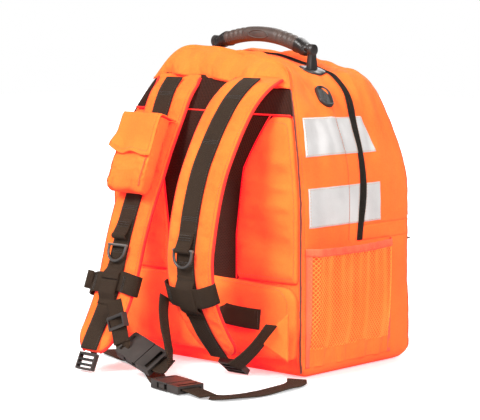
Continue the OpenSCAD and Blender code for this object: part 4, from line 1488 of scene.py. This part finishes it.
def tapes():
    """Two bands of reflective tape on each side and one across the lid."""
    body, threads = {"body": [], "lid": []}, {"body": [], "lid": []}
    for sign in (1, -1):
        for z0, z1 in ((192.0, 242.0), (281.0, 331.0)):
            a, b = at_height(z0), at_height(z1)
            s = np.linspace(a, b, 26)
            s = s if sign > 0 else ROUND - s[::-1]
            z = outline(s)[0][:, 1]
            for part in ("body", "lid"):
                if part == "body":
                    low, high = 12.0 + 0 * z + lean(z), zip_depth(z) - 5.5
                else:
                    low, high = zip_depth(z) + 5.5, 156.0 + 0 * z - (z1 > 300) * 0.16 * (z - z0)
                y = low[:, None] + (high - low)[:, None] * np.linspace(0, 1, 44)
                p, out = tape_patch(s[:, None] + 0 * y, y)
                body[part].append(skin_data(p, 0.6))
                threads[part].append(hem(p, out))
    band_z, band_x = np.linspace(192, 242, 20), np.linspace(118, -118, 90)
    band = on_front(band_x[:, None], band_z[None], 1.0)
    body["lid"].append(skin_data(band, 0.7))
    threads["lid"].append(hem(band, np.broadcast_to(np.array([0, 1.0, 0]), band.shape)))
    for part, rides in (("body", "bag"), ("lid", "lid")):
        v, f, t = join_data(body[part])
        new_mesh(f"tape_{part}_strips", v, f, TAPE, rides, t, slot="reflective_tape",
                 replaces=(f"tape_{part}",))
        plain_piece(f"tape_{part}_stitches", join_data(threads[part]), TAPE_THREAD, rides,
                    slot="reflective_tape")


TAPE_THREAD = thread("tape_thread", (0.75, 0.28, 0.10, 1), (0.9, 0.5, 0.3, 1))
tapes()


def panel_seam():
    """A fine stitched seam down each side panel, through the tapes."""
    rows = []
    for sign in (1, -1):
        s = np.linspace(at_height(170), at_height(350), 120)
        s = s if sign > 0 else ROUND - s
        path = gusset(s, np.full(120, 90.0), 1.3)
        n = outline(s)[1]
        out = np.stack([n[:, 0], 0 * n[:, 0], n[:, 1]], -1)
        rows.append(thread_data(path, out, 3.2, 0.7, 0.3))
    plain_piece("side_seam_stitches", join_data(rows), ORANGE_THREAD, "bag", slot="orange_cloth")


panel_seam()

# ---------------------------------------------------------------- zip round the lid


def zip_half(part):
    """One tape of the zip with its coil, from the hinge on one side over the top to the other."""
    toward = -1 if part == "body" else 1
    s = np.linspace(at_height(HINGE_Z + 1), ROUND - at_height(HINGE_Z + 1), 700)
    z = outline(s)[0][:, 1]
    mid = zip_depth(z)
    n = outline(s)[1]
    out = np.stack([n[:, 0], 0 * n[:, 0], n[:, 1]], -1)
    path = gusset(s, mid + toward * 3.4, 0.9)
    across, lie = frames(path, out)
    tape = sweep_data(path, across, lie, flat_section(5.2, 0.9))
    coil_s = np.linspace(s[0], s[-1], 2600)
    coil_z = outline(coil_s)[0][:, 1]
    coil_path = gusset(coil_s, zip_depth(coil_z) + toward * 1.0, 0.0)
    cn = outline(coil_s)[1]
    coil_out = np.stack([cn[:, 0], 0 * cn[:, 0], cn[:, 1]], -1)
    coil_path = resample(coil_path + coil_out * 1.7, 2600)
    c_across, c_out = frames(coil_path, resample(coil_out, 2600))
    beat = np.sin(np.arange(2600) * 2 * math.pi / 5 + (0 if toward < 0 else math.pi))
    ring = np.array(round_section(1.0, 7))
    section = ring[None] * (1.0 + 0.26 * beat)[:, None, None] * (1.15, 0.85)
    coil = sweep_data(coil_path, c_across, c_out, section)
    body = "bag" if part == "body" else None
    data = join_data([tape, coil])
    piece = mapped_piece(f"main_zip_{part}_tape", data, ZIP_TAPE, body, slot="zip_tape",
                         replaces=(f"main_zip_{part}",))
    if part == "lid":
        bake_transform(piece)
    rows = thread_data(gusset(s, mid + toward * 8.2, 0.25), out, 2.8)
    line = plain_piece(f"main_zip_{part}_stitches", rows, ORANGE_THREAD, body, slot="orange_cloth")
    if part == "lid":
        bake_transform(line)


zip_half("body")
zip_half("lid")
for node in ("main_slider", "main_pull", "pocket_slider", "pocket_pull"):
    hard(node, ZIP_METAL, 0.5)

# ---------------------------------------------------------------- cable port


def cable_port():
    """A moulded oval grommet with a raised rim, a sunk face and a slit for a cable."""
    s = at_height(364.0)
    foot = gusset(np.array([s]), np.array([90.0]), 0.2)[0]
    near = gusset(np.array([s - 12.0, s + 12.0]), np.array([90.0, 90.0]), 0.2)
    along = unit(near[1] - near[0])
    out = unit(np.cross(along, (0, 1.0, 0)))
    out *= np.sign(out[0])
    deep = np.cross(out, along)
    turn = math.radians(25)
    long = along * math.cos(turn) - deep * math.sin(turn)
    short = np.cross(out, long)
    n = 64
    angle = np.linspace(0, 2 * math.pi, n, endpoint=False)
    profile = [(1.0, -1.5), (1.0, 0.6), (0.97, 2.2), (0.9, 3.1), (0.82, 3.2), (0.75, 2.5), (0.71, 1.3),
               (0.66, 1.0), (0.5, 1.3), (0.3, 1.5), (0.1, 1.6)]
    half_l, half_w = 19.0, 12.0
    rings = []
    for k, h in profile:
        w = half_w - (1 - k) * half_w
        l = half_l - (1 - k) * half_w
        x = w * np.cos(angle)
        y = w * np.sin(angle) + (l - w) * np.sign(np.sin(angle)) * np.minimum(1, np.abs(np.sin(angle)) * 3)
        rings.append(foot + x[:, None] * short + y[:, None] * long + out * h)
    g = np.stack(rings, 1)
    faces = grid_faces(n, len(profile), True).tolist()
    faces.append([i * len(profile) + len(profile) - 1 for i in range(n)])
    faces.append([i * len(profile) for i in range(n)][::-1])
    new_mesh("cable_port_grommet", g.reshape(-1, 3), faces, RUBBER, "bag", slot="rubber",
             replaces=("cable_port",))
    line = foot + out * 1.45 + np.linspace(-9, 9, 20)[:, None] * long
    slit = sweep_data(line, np.tile(short, (20, 1)), np.tile(out, (20, 1)), round_section(0.6, 6))
    plain_piece("cable_port_slit", slit, BLACK_THREAD, "bag", slot="rubber")
    lips = []
    for side in (-1, 1):
        bow = np.linspace(-1, 1, 24)
        apart = (side * (1.6 - 1.2 * bow ** 2))[:, None]
        line = foot + out * 1.5 + bow[:, None] * 10.5 * long + apart * short
        lips.append(tube_data(line, 0.7, 6))
    plain_piece("cable_port_lips", join_data(lips), RUBBER, "bag", slot="rubber")


cable_port()

# ---------------------------------------------------------------- carrying handle

HANDLE_Y = 116.0
PIVOT_Z = TOP + 7
BASE_X = 85.5
GRIP_X = 76.0
RISE = 15.0
GRIP_ARC = (GRIP_X ** 2 + RISE ** 2) / (2 * RISE)
TILT = math.radians(3.3)


def tilted(p):
    """Turns handle points about its left pivot, so the handle follows the slack shoulder down."""
    p = np.array(p, float)
    x, z = p[..., 0] + BASE_X, p[..., 2] - PIVOT_Z
    p[..., 0] = x * math.cos(TILT) + z * math.sin(TILT) - BASE_X
    p[..., 2] = z * math.cos(TILT) - x * math.sin(TILT) + PIVOT_Z
    return p


def grip_height(x):
    """Height of the middle of the grip, an arc over its two pivots."""
    return PIVOT_Z + RISE - GRIP_ARC + np.sqrt(GRIP_ARC ** 2 - np.asarray(x, float) ** 2)


def blocky(n, power):
    """Outline of a bar between round and square."""
    return np.array([(np.sign(a) * abs(a) ** power, np.sign(b) * abs(b) ** power)
                     for a, b in round_section(1.0, n)])


def handle():
    """Moulded grip with finger notches, a raised oval and rows of dots, between wedge ends."""
    n, m = 150, 32
    x = np.linspace(-66, 66, n)
    line = np.stack([x, np.full(n, HANDLE_Y), grip_height(x)], 1)
    t = tangents(line)
    up = np.cross(t, (0, 1.0, 0))
    up *= np.sign(up[:, 2:])
    angle = np.linspace(0, 2 * math.pi, m, endpoint=False)
    notch = sum(np.exp(-((np.abs(x) - c) / 2.4) ** 2) for c in (30, 38.5, 47, 55.5))
    wide, high = 11.0 + 0.8 * np.cos(x / 66 * math.pi / 2), 9.6 + 0.5 * np.cos(x / 66 * math.pi / 2)
    ca, sa = np.cos(angle), np.sin(angle)
    shape_y = np.sign(ca) * np.abs(ca) ** 0.85
    shape_z = np.sign(sa) * np.abs(sa) ** 0.85
    cut = notch[:, None] * 1.5 * np.clip(sa + 0.55, 0, 1)[None]
    p = (line[:, None] + np.array([0, 1.0, 0]) * (shape_y * wide[:, None] - cut * ca * 0.8)[..., None]
         + up[:, None] * (shape_z * high[:, None] - cut * sa)[..., None])
    verts = tilted(p).reshape(-1, 3)
    faces = grid_faces(n, m).tolist()
    faces += [(i * m + m - 1, (i + 1) * m + m - 1, (i + 1) * m, i * m) for i in range(n - 1)]
    faces += [tuple(range(m))[::-1], tuple((n - 1) * m + k for k in range(m))]
    faces = [f[::-1] for f in faces]
    new_mesh("handle_grip_mould", verts, faces, GRIP, "handle", slot="grip", replaces=("handle_grip",))
    trims = []
    for side in (-1, 1):
        turn = np.linspace(0, 2 * math.pi, 49)
        ox, oz = 17 * np.cos(turn), 5.2 * np.sin(turn)
        face = HANDLE_Y + side * (12.0 - 0.035 * oz ** 2)
        oval = np.stack([ox, face, grip_height(ox) + oz + 0.5], 1)
        trims.append(tube_data(tilted(oval), 0.75, 6))
    dots = []
    for side in (-1, 1):
        for row in (-4.0, 0.0, 4.0):
            for dx in np.arange(22, 62, 3.4):
                for end in (-1, 1):
                    c = np.array([end * dx, HANDLE_Y + side * (11.2 - 0.045 * row ** 2), 0])
                    c[2] = grip_height(c[0]) + row - 1.5
                    q = np.array([c + np.array([0, side * h, 0]) for h in (-0.6, 0.15, 0.45)])
                    ring = np.array(round_section(0.62, 6))
                    section = ring[None] * np.array([1.0, 0.8, 0.35])[:, None, None]
                    dots.append(sweep_data(tilted(q), np.tile([1.0, 0, 0], (3, 1)),
                                           np.tile([0, 0, 1.0], (3, 1)), section))
    plain_piece("handle_grip_trim", join_data(trims + dots), GRIP_DARK, "handle", slot="grip")
    caps = []
    for end in (-1, 1):
        path = np.array([(end * cx, HANDLE_Y, cz) for cx, cz in
                         ((62, grip_height(62)), (66, grip_height(66)), (71, grip_height(70.5) - 0.4),
                          (76, grip_height(75) - 1.8), (80, PIVOT_Z + 1.5), (82, PIVOT_Z - 1.0))])
        path = smooth(path, 4)
        k = np.linspace(0, 1, len(path))
        width = 11.8 - 3.4 * k ** 3
        height = 10.4 - 3.6 * ease(k) - 1.2 * k
        section = blocky(24, 0.75)[None] * np.stack([width, height], -1)[:, None]
        d = tangents(path)
        across = np.tile([0, 1.0, 0], (len(path), 1))
        caps.append(sweep_data(tilted(path), across, np.cross(d, across) * end, section))
        for gx in (66.0, 69.5, 73.0):
            a = np.linspace(0.35, math.pi - 0.35, 16)
            rib = np.stack([np.full(16, end * gx), HANDLE_Y + 11.9 * np.cos(a),
                            grip_height(min(gx, 75)) + (10.2 - 0.16 * (gx - 62)) * np.sin(a) - 0.3], 1)
            caps.append(tube_data(tilted(rib), 0.8, 6))
    data = join_data(caps)
    plain_piece("handle_caps_mould", data, PLASTIC, "handle", slot="buckle_plastic",
                replaces=("handle_caps",))


GRIP_DARK = moulded("grip_trim", rgb(58, 50, 46), rgb(96, 86, 80), 0.5, 1500.0)
handle()


def handle_bases():
    """Oval plates sewn on the top with a lug that carries each pivot."""
    parts = []
    for end in (-1, 1):
        pivot = tilted((end * BASE_X, HANDLE_Y, PIVOT_Z))
        s_of = np.linspace(at_height(330), ROUND - at_height(330), 900)
        line = gusset(s_of, np.full(900, HANDLE_Y), 0.0)
        at = int(np.argmin(np.abs(line[:, 0] - end * 85.0)))
        s0 = s_of[at]
        n, steps = 48, [(0.35, 2.6), (0.75, 2.4), (0.92, 1.7), (1.0, 0.4), (1.0, -1.6)]
        angle = np.linspace(0, 2 * math.pi, n, endpoint=False)
        rings = []
        for k, h in steps:
            rings.append(gusset(s0 + 17.0 * k * np.cos(angle), HANDLE_Y + 20.0 * k * np.sin(angle), h + 1.0))
        g = np.stack(rings, 1)
        faces = grid_faces(n, len(rings), True).tolist()
        faces.append([i * len(rings) for i in range(n)][::-1])
        faces.append([i * len(rings) + len(rings) - 1 for i in range(n)])
        v = g.reshape(-1, 3)
        parts.append((v, faces, v[:, :2]))
        seat = gusset(np.array([s0]), np.array([HANDLE_Y]), 1.0)[0]
        k = np.linspace(0, 1, 14)[:, None]
        stem = seat + (pivot - seat) * k
        wide = 8.5 - 2.6 * ease(k[:, 0])
        thick = 4.6 - 0.8 * ease(k[:, 0])
        section = blocky(20, 0.6)[None] * np.stack([wide, thick], -1)[:, None]
        d = tangents(stem)
        across = np.tile([0, 1.0, 0], (14, 1))
        parts.append(sweep_data(stem, across, np.cross(d, across), section))
        axle = unit(tilted((end * BASE_X + 1, HANDLE_Y, PIVOT_Z)) - pivot)
        bar = pivot + axle * np.array([-4.6, -4.2, -3.6, 3.6, 4.2, 4.6])[:, None]
        size = np.array([6.6, 7.4, 7.9, 7.9, 7.4, 6.6])
        ring = np.array(round_section(1.0, 28))[None] * size[:, None, None]
        parts.append(sweep_data(bar, np.tile([0, 1.0, 0], (6, 1)),
                                np.tile(np.cross(axle, (0, 1.0, 0)), (6, 1)), ring))
    data = join_data(parts)
    plain_piece("handle_bases_mould", data, PLASTIC, "bag", slot="buckle_plastic",
                replaces=("handle_bases",))


handle_bases()

# ---------------------------------------------------------------- phone pouch

POUCH_Z = 272.0


def pouch_frame():
    """Foot point and directions of the pouch: across, away from the strap, and up along it."""
    centre, t, out = strap_at("left", POUCH_Z, WEB_X["left"], 8 + 1.4)
    return centre, np.array([1.0, 0, 0]), out, -t


def pouch_place(p):
    """From pouch coordinates (across, out, up) to the bag's."""
    centre, across, out, up = pouch_frame()
    p = np.asarray(p, float)
    return centre + p[..., :1] * across + p[..., 1:2] * out + p[..., 2:] * up


def pouch():
    """A soft box with rounded, gathered corners: its front bulges and its bottom edge is puckered."""
    n, rows = 96, 44
    w, deep, low, high = 33.0, 26.0, -55.0, 47.0
    angle = np.linspace(0, 2 * math.pi, n, endpoint=False)
    ca, sa = np.cos(angle), np.sin(angle)
    x = np.sign(ca) * np.abs(ca) ** 0.42
    y = np.sign(sa) * np.abs(sa) ** 0.5
    k = np.linspace(0, 1, rows)
    z = low + (high - low) * k
    foot = np.sqrt(np.clip(1 - (1 - np.clip(k / 0.16, 0, 1)) ** 2, 0, 1))
    g = np.zeros((n, rows, 3))
    g[..., 0] = x[:, None] * w * (0.93 + 0.07 * foot)
    g[..., 1] = deep / 2 + y[:, None] * deep / 2 * (0.55 + 0.45 * foot) * (1 - 0.12 * k)
    g[..., 2] = z
    front = np.clip(y, 0, 1)[:, None]
    lumps = rough(g * (1, 1, 1.1), 26, 11.0) * 2.0 + rough(g * (0.8, 1, 2.2), 13, 4.0) * 0.9
    pleat = np.sin(g[..., 0] / 2.6 + 0.7) * 1.0 * np.exp(-((k - 0.05) / 0.10) ** 2)[None]
    g[..., 1] += front * (lumps + 1.6 * np.sin(math.pi * k)[None] + pleat) * 0.8
    g[..., 0] += (1 - front) * lumps * 0.5 * np.sign(g[..., 0])
    g[..., 1] = np.clip(g[..., 1], 0.0, 27.6)
    g[..., 2] += (1.5 * np.sin(g[..., 0] / 5.2) + rough(g, 18, 2.0) * 1.4) * (1 - foot)[None]
    verts = pouch_place(g).reshape(-1, 3)
    faces = grid_faces(n, rows, True).tolist()
    faces.append([i * rows for i in range(n)][::-1])
    faces.append([i * rows + rows - 1 for i in range(n)])
    uv = np.stack([angle[:, None] * 30 + 0 * g[..., 0], g[..., 2]], -1).reshape(-1, 2)
    piece = new_mesh("phone_pouch_cloth", verts, faces, ORANGE, "bag", uv, slot="orange_cloth",
                     replaces=("phone_pouch",))
    weight = np.tile(np.where(k < 0.08, 1.0, np.where(k > 0.9, 1.0, 0.2)), (n, 1))
    weight[(y < 0.05)] = 1.0
    inflate(piece, weight.ravel(), 1.5, 2.0)
    edges = []
    for side in (-1, 1):
        i = int(np.argmin(np.abs(angle - math.pi * (0.25 if side > 0 else 0.75))))
        edges.append(tube_data(pouch_place(g[i, 3:-2] + (0.5 * side, 0.5, 0)), 0.9))
    plain_piece("phone_pouch_piping", join_data(edges), ORANGE_THREAD, "bag", slot="orange_cloth")


def flap():
    """A soft flap over the pouch: a short top, then a front with side ears and a waved edge."""
    n_x, n_k = 60, 56
    u = np.linspace(-1, 1, n_x)
    top_k, drop = 30.0, 54.0
    k = np.linspace(0, top_k + drop, n_k)
    g = np.zeros((n_x, n_k, 3))
    for j, d in enumerate(k):
        if d < top_k - 6:
            y, z = d, 51.0
        elif d < top_k + 3:
            a = (d - top_k + 6) / 9 * math.pi / 2
            y, z = top_k - 6 + 5.8 * math.sin(a), 51.0 - 5.8 * (1 - math.cos(a))
        else:
            y, z = top_k - 0.2, 51.0 - 5.8 - (d - top_k - 3)
        g[:, j] = np.stack([u * 35.5, np.full(n_x, y), np.full(n_x, z)], -1)
    fall = np.clip((k - top_k) / drop, 0, 1)[None]
    side = np.abs(u)[:, None]
    roll = ease((side - 0.86) / 0.14)
    g[..., 1] -= 3.6 * roll * (1 - 0.4 * fall)
    waves = rough(g * (1, 1, 0.7), 24, 19.0) * 1.5
    hem_wave = np.sin(u * 4.1 + 0.6)[:, None] * 1.5 * fall ** 3
    lift = 7.5 * ease((-u[:, None] - 0.35) / 0.6) * ease((fall - 0.45) / 0.5)
    g[..., 1] += np.where(fall > 0, waves * 0.8 + hem_wave + lift, waves * 0.2)
    g[..., 2] += 2.0 * np.sin(u * 5.0 + 1.0)[:, None] * fall ** 4
    g[..., 2] += 5.0 * ease((-u[:, None] - 0.3) / 0.7) * fall ** 2
    g[..., 1] = np.maximum(g[..., 1], np.where(fall > 0.05, 27.9, 0.0) - 3.4 * roll)
    g[..., 2] = np.where(fall <= 0.0, np.maximum(g[..., 2], 50.0), g[..., 2])
    p = pouch_place(g)
    skin_piece("phone_flap_cloth", p, ORANGE, "phone_flap", 1.7, slot="orange_cloth",
               replaces=("phone_flap",))
    n = grid_normals(p)
    n *= np.sign(np.sum(n * (p - MIDDLE), -1, keepdims=True))
    rows = [thread_data(p[3, 4:-3] + n[3, 4:-3] * 0.1, n[3, 4:-3], 2.4),
            thread_data(p[-4, 4:-3] + n[-4, 4:-3] * 0.1, n[-4, 4:-3], 2.4),
            thread_data(p[3:-3, -4] + n[3:-3, -4] * 0.1, n[3:-3, -4], 2.4)]
    plain_piece("phone_flap_stitches", join_data(rows), ORANGE_THREAD, "phone_flap", slot="orange_cloth")
    edge = tube_data(p[:, -1] - n[:, -1] * 0.9, 1.15, 7)
    plain_piece("phone_flap_binding", edge, ORANGE, "phone_flap", slot="orange_cloth")


pouch()
flap()

# ---------------------------------------------------------------- front pocket


def front_pocket():
    """A flat pocket on the front with rounded sides, a puckered foot and a zip across its top."""
    (_, _, z0), (x1, y1, z1) = box_mm("front_pocket")
    n, rows = 110, 60
    half = x1 - 1.0
    u = np.linspace(-1, 1, n)
    k = np.linspace(0, 1, rows)
    z = z0 + 0.5 + (z1 - z0 - 1.2) * k
    side = np.sqrt(np.clip(1 - (np.clip((np.abs(u) - 0.86) / 0.14, 0, 1)) ** 2, 0, 1))
    foot = np.sqrt(np.clip(1 - (1 - np.clip(k / 0.10, 0, 1)) ** 2, 0, 1))
    head = np.sqrt(np.clip(1 - (np.clip((k - 0.93) / 0.07, 0, 1)) ** 2, 0, 1)) * 0.25 + 0.75
    g = np.zeros((n, rows, 3))
    g[..., 0] = u[:, None] * half
    base = front_depth(np.full_like(g[..., 0], 30.0), z[None] + 0 * g[..., 0]) - 6
    base = np.minimum(base, DEPTH - 1)
    full = y1 - 3.2
    shape = side[:, None] * foot[None] * head[None]
    g[..., 2] = z
    lumps = rough(g * (0.9, 1, 0.8), 46, 13.0) * 1.9 + rough(g * (1, 1, 0.5), 19, 3.0) * 0.7
    pleat = np.sin(g[..., 0] / 3.3) * 0.8 * np.exp(-((k - 0.06) / 0.06) ** 2)[None]
    g[..., 1] = base + (full - base) * shape + (lumps + pleat) * shape
    g[..., 1] = np.minimum(g[..., 1], y1 - 0.2)
    skin_piece("front_pocket_cloth", g, ORANGE, "bag", 2.0, slot="orange_cloth", replaces=("front_pocket",))
    top = np.zeros((n, 12, 3))
    for j, m in enumerate(np.linspace(0, 1, 12)):
        top[:, j, 0] = u * half
        top[:, j, 1] = g[:, -1, 1] * (1 - m) + (DEPTH - 2.0) * m
        top[:, j, 2] = g[:, -1, 2] + 0.3 + 0.8 * math.sin(math.pi * m)
    skin_piece("front_pocket_top", top[:, ::-1], ORANGE, "bag", 1.6, slot="orange_cloth")
    rows_t = []
    for offset in (6, -7):
        path = g[4:-4, offset]
        out = np.tile([0, 1.0, 0], (len(path), 1))
        rows_t.append(thread_data(path + out * 0.2, out, 2.6))
    plain_piece("front_pocket_stitches", join_data(rows_t), ORANGE_THREAD, "bag", slot="orange_cloth")
    x = np.linspace(-118, 118, 480)
    zip_parts = []
    for toward in (-1, 1):
        path = np.stack([x, np.full(480, DEPTH + 8 + toward * 3.6), np.full(480, z1 + 0.5)], 1)
        zip_parts.append(strap_data(path, (0, 0, 1.0), 6.0, 0.8))
        beat = np.sin(np.arange(480) * 2 * math.pi / 4 + (0 if toward < 0 else math.pi))
        ring = np.array(round_section(0.95, 7))
        coil = np.stack([x, np.full(480, DEPTH + 8 + toward * 0.9), np.full(480, z1 + 1.2)], 1)
        a, o = frames(coil, (0, 0, 1.0))
        zip_parts.append(sweep_data(coil, a, o, ring[None] * (1 + 0.25 * beat)[:, None, None]))
    data = join_data(zip_parts)
    mapped_piece("pocket_zip_tape", data, ZIP_TAPE, "bag", slot="zip_tape", replaces=("pocket_zip",))


front_pocket()

# ---------------------------------------------------------------- sternum and waist webbing


def aim_frame(turn_y, turn_x, origin, turn_z=0.0):
    """A placing function for the buckles' own coordinates."""
    ry, rx, rz = (math.radians(a) for a in (turn_y, turn_x, turn_z))
    mx = np.array([[1, 0, 0], [0, math.cos(rx), -math.sin(rx)], [0, math.sin(rx), math.cos(rx)]])
    my = np.array([[math.cos(ry), 0, math.sin(ry)], [0, 1, 0], [-math.sin(ry), 0, math.cos(ry)]])
    mz = np.array([[math.cos(rz), -math.sin(rz), 0], [math.sin(rz), math.cos(rz), 0], [0, 0, 1]])
    m = mz @ my @ mx
    return lambda p: np.asarray(p, float) @ m.T + origin


at_sternum = aim_frame(18, 35, np.array([6, -120, 31.0]))
at_waist = aim_frame(0, 0, np.array([92, -146, 6.5]), -12)


def run(points, hint, steps=10):
    """A webbing run through points, flat side towards hint."""
    path = smooth(points, steps)
    if np.ndim(hint) == 2:
        k = np.linspace(0, 1, len(path))
        knots = np.linspace(0, 1, len(hint))
        hint = unit(np.stack([np.interp(k, knots, np.array(hint, float)[:, i]) for i in range(3)], 1))
    return strap_data(path, hint)


def sternum_webbing():
    """Both halves of the sternum strap; the right one bends up to its cross band on edge."""
    a, b = np.array([-40, -124.7, 91.0]), np.array([-23, -129.2, 46.0])
    d = unit(b - a)
    left = [run([a - d * 4, a, (a + b) / 2 + (0, 0.4, 0), b, b + d * 3], (0.15, -0.98, 0.1))]
    end = at_sternum((-26.0, 0, 0))
    left.append(run([b, b + (1.5, 1.0, -4), (end + b) / 2 + (-1, -2.5, -3), end],
                    [(0.1, -1, 0.2), (0.1, -0.8, 0.6)], 8))
    up = at_sternum((0, 0, 1.0)) - at_sternum((0, 0, 0))
    right = [run([at_sternum((16, 0, 0)), at_sternum((30, 0, 0)), at_sternum((40, 0, 2)), (61, -125, 24),
                  (57, -124, 44), (46, -119, 66), (36, -112, 88), (31, -105, 106)],
                 [up, up, up, (-0.55, -0.45, 0.7), (-0.93, -0.3, 0.2), (-0.96, -0.27, 0), (-0.96, -0.27, 0),
                  (-0.96, -0.27, 0)])]
    for name, parts in (("left", left), ("right", right)):
        data = join_data(parts)
        mapped_piece(f"sternum_webbing_{name}_band", data, WEBBING, "bag", slot="webbing",
                     replaces=(f"sternum_webbing_{name}",))


def floor_run(points, height, wave, seed):
    """Webbing lying slack on the floor: nearly flat, rocking a little from edge to edge."""
    path = smooth([(x, y, height) for x, y in points], 12)
    s = lengths(path)
    rock = rough(np.stack([s, 0 * s, 0 * s + seed], 1), 60, 3.0)
    path[:, 2] += wave * (1 + rough(np.stack([s, 0 * s + 5, 0 * s + seed], 1), 45, 1.0)) * 0.9
    t = tangents(path)
    side = np.cross(t, (0, 0, 1.0))
    hint = np.array([0, 0, 1.0]) + side * (0.10 * rock)[:, None]
    path[:, 2] += np.abs(0.10 * rock) * 12.5
    return strap_data(path, hint)


def waist_webbing():
    """The waist belt: two runs on the floor and the pieces that go into its buckle."""
    left = [(-158, -20), (-138, -36), (-98, -46), (-50, -62), (0, -94), (32, -120), (57, -137.5)]
    right = [(160, -158), (176, -146), (186, -112), (189, -66), (183, -28), (168, -8)]
    parts = [floor_run(left, 1.6, 0.8, 3.0), floor_run(right, 1.6, 0.8, 8.0)]
    up = at_waist((0, 0, 1.0)) - at_waist((0, 0, 0))
    parts.append(run([at_waist((16, 0, 0)), at_waist((30, 0, 0)), at_waist((50, 0, -1.2)),
                      at_waist((68, 0, -2.6))], up))
    link = [(57, -137.5, 3.4), (60, -139, 5.2), at_waist((-27, 0, 0.2))]
    parts.append(run(link, (0, 0, 1.0), 8))
    data = join_data(parts)
    mapped_piece("waist_webbing_band", data, WEBBING, "bag", slot="webbing", replaces=("waist_webbing",))


sternum_webbing()
waist_webbing()

# ---------------------------------------------------------------- studio, camera and finish


def soft_sun(name, place, strength, spread):
    """A wide soft light from far away, in the direction of place."""
    data = bpy.data.lights.new(name, "SUN")
    data.energy = strength
    data.angle = math.radians(spread)
    light = bpy.data.objects.new(name, data)
    bpy.context.scene.collection.objects.link(light)
    light.rotation_euler = Vector(place).to_track_quat("Z", "Y").to_euler()


def by_path(tree, seen, lit, output):
    """Shows one shader as the backdrop and lights the object with another."""
    path, mix = tree.nodes.new("ShaderNodeLightPath"), tree.nodes.new("ShaderNodeMixShader")
    tree.links.new(path.outputs["Is Camera Ray"], mix.inputs[0])
    tree.links.new(lit, mix.inputs[1])
    tree.links.new(seen, mix.inputs[2])
    tree.links.new(mix.outputs[0], output)


def studio():
    """A plain pale floor in a white surround, with soft lights from the front, the right and above."""
    floor = bpy.data.meshes.new("floor")
    r, low = 6.0, -0.0004
    floor.from_pydata([(-r, -r, low), (r, -r, low), (r, r, low), (-r, r, low)], [], [(0, 1, 2, 3)])
    s = Shader("pale_floor")
    grain = s.noise(s.place(), 900.0, 2.0)
    pale = s.finish(Base_Color=s.mix(grain, (0.92, 0.92, 0.92, 1), (0.95, 0.95, 0.95, 1)), Roughness=0.7,
                    Specular_IOR_Level=0.1, Emission_Color=(1, 1, 1, 1), Emission_Strength=0.45)
    by_path(s.tree, s.principled.outputs[0], s.add("BsdfDiffuse", Color=(0.45, 0.45, 0.45, 1)).outputs[0],
            s.tree.nodes["Material Output"].inputs[0])
    floor.materials.append(pale)
    plane = bpy.data.objects.new("floor", floor)
    bpy.context.scene.collection.objects.link(plane)
    world = bpy.data.worlds.new("studio")
    world.use_nodes = True
    tree = world.node_tree
    seen, lit = tree.nodes["Background"], tree.nodes.new("ShaderNodeBackground")
    seen.inputs[0].default_value = lit.inputs[0].default_value = (1, 1, 1, 1)
    seen.inputs[1].default_value = 1.0
    lit.inputs[1].default_value = 0.26
    by_path(tree, seen.outputs[0], lit.outputs[0], tree.nodes["World Output"].inputs[0])
    bpy.context.scene.world = world
    soft_sun("key", (-0.5, -2.4, 2.1), 3.3, 22)
    soft_sun("side", (2.6, -0.9, 1.4), 2.5, 26)
    soft_sun("back", (-1.0, 2.6, 1.6), 1.4, 40)
    bpy.context.scene.view_settings.view_transform = "Standard"


def photo_camera():
    """The camera of the photograph: from the right of the harness, a little above the bag."""
    azimuth, elevation, distance = math.radians(42.5), math.radians(6.141), 2.54143
    target = Vector((-0.00398, 0.07406 + BACK * MM, 0.19829))
    back = Vector((math.sin(azimuth) * math.cos(elevation), -math.cos(azimuth) * math.cos(elevation),
                   math.sin(elevation)))
    data = bpy.data.cameras.new("camera")
    data.sensor_width = 36.0
    data.lens = 142.58
    camera = bpy.data.objects.new("camera", data)
    bpy.context.scene.collection.objects.link(camera)
    camera.location = target + back * distance
    camera.rotation_euler = back.to_track_quat("Z", "Y").to_euler()
    bpy.context.scene.camera = camera


studio()
photo_camera()
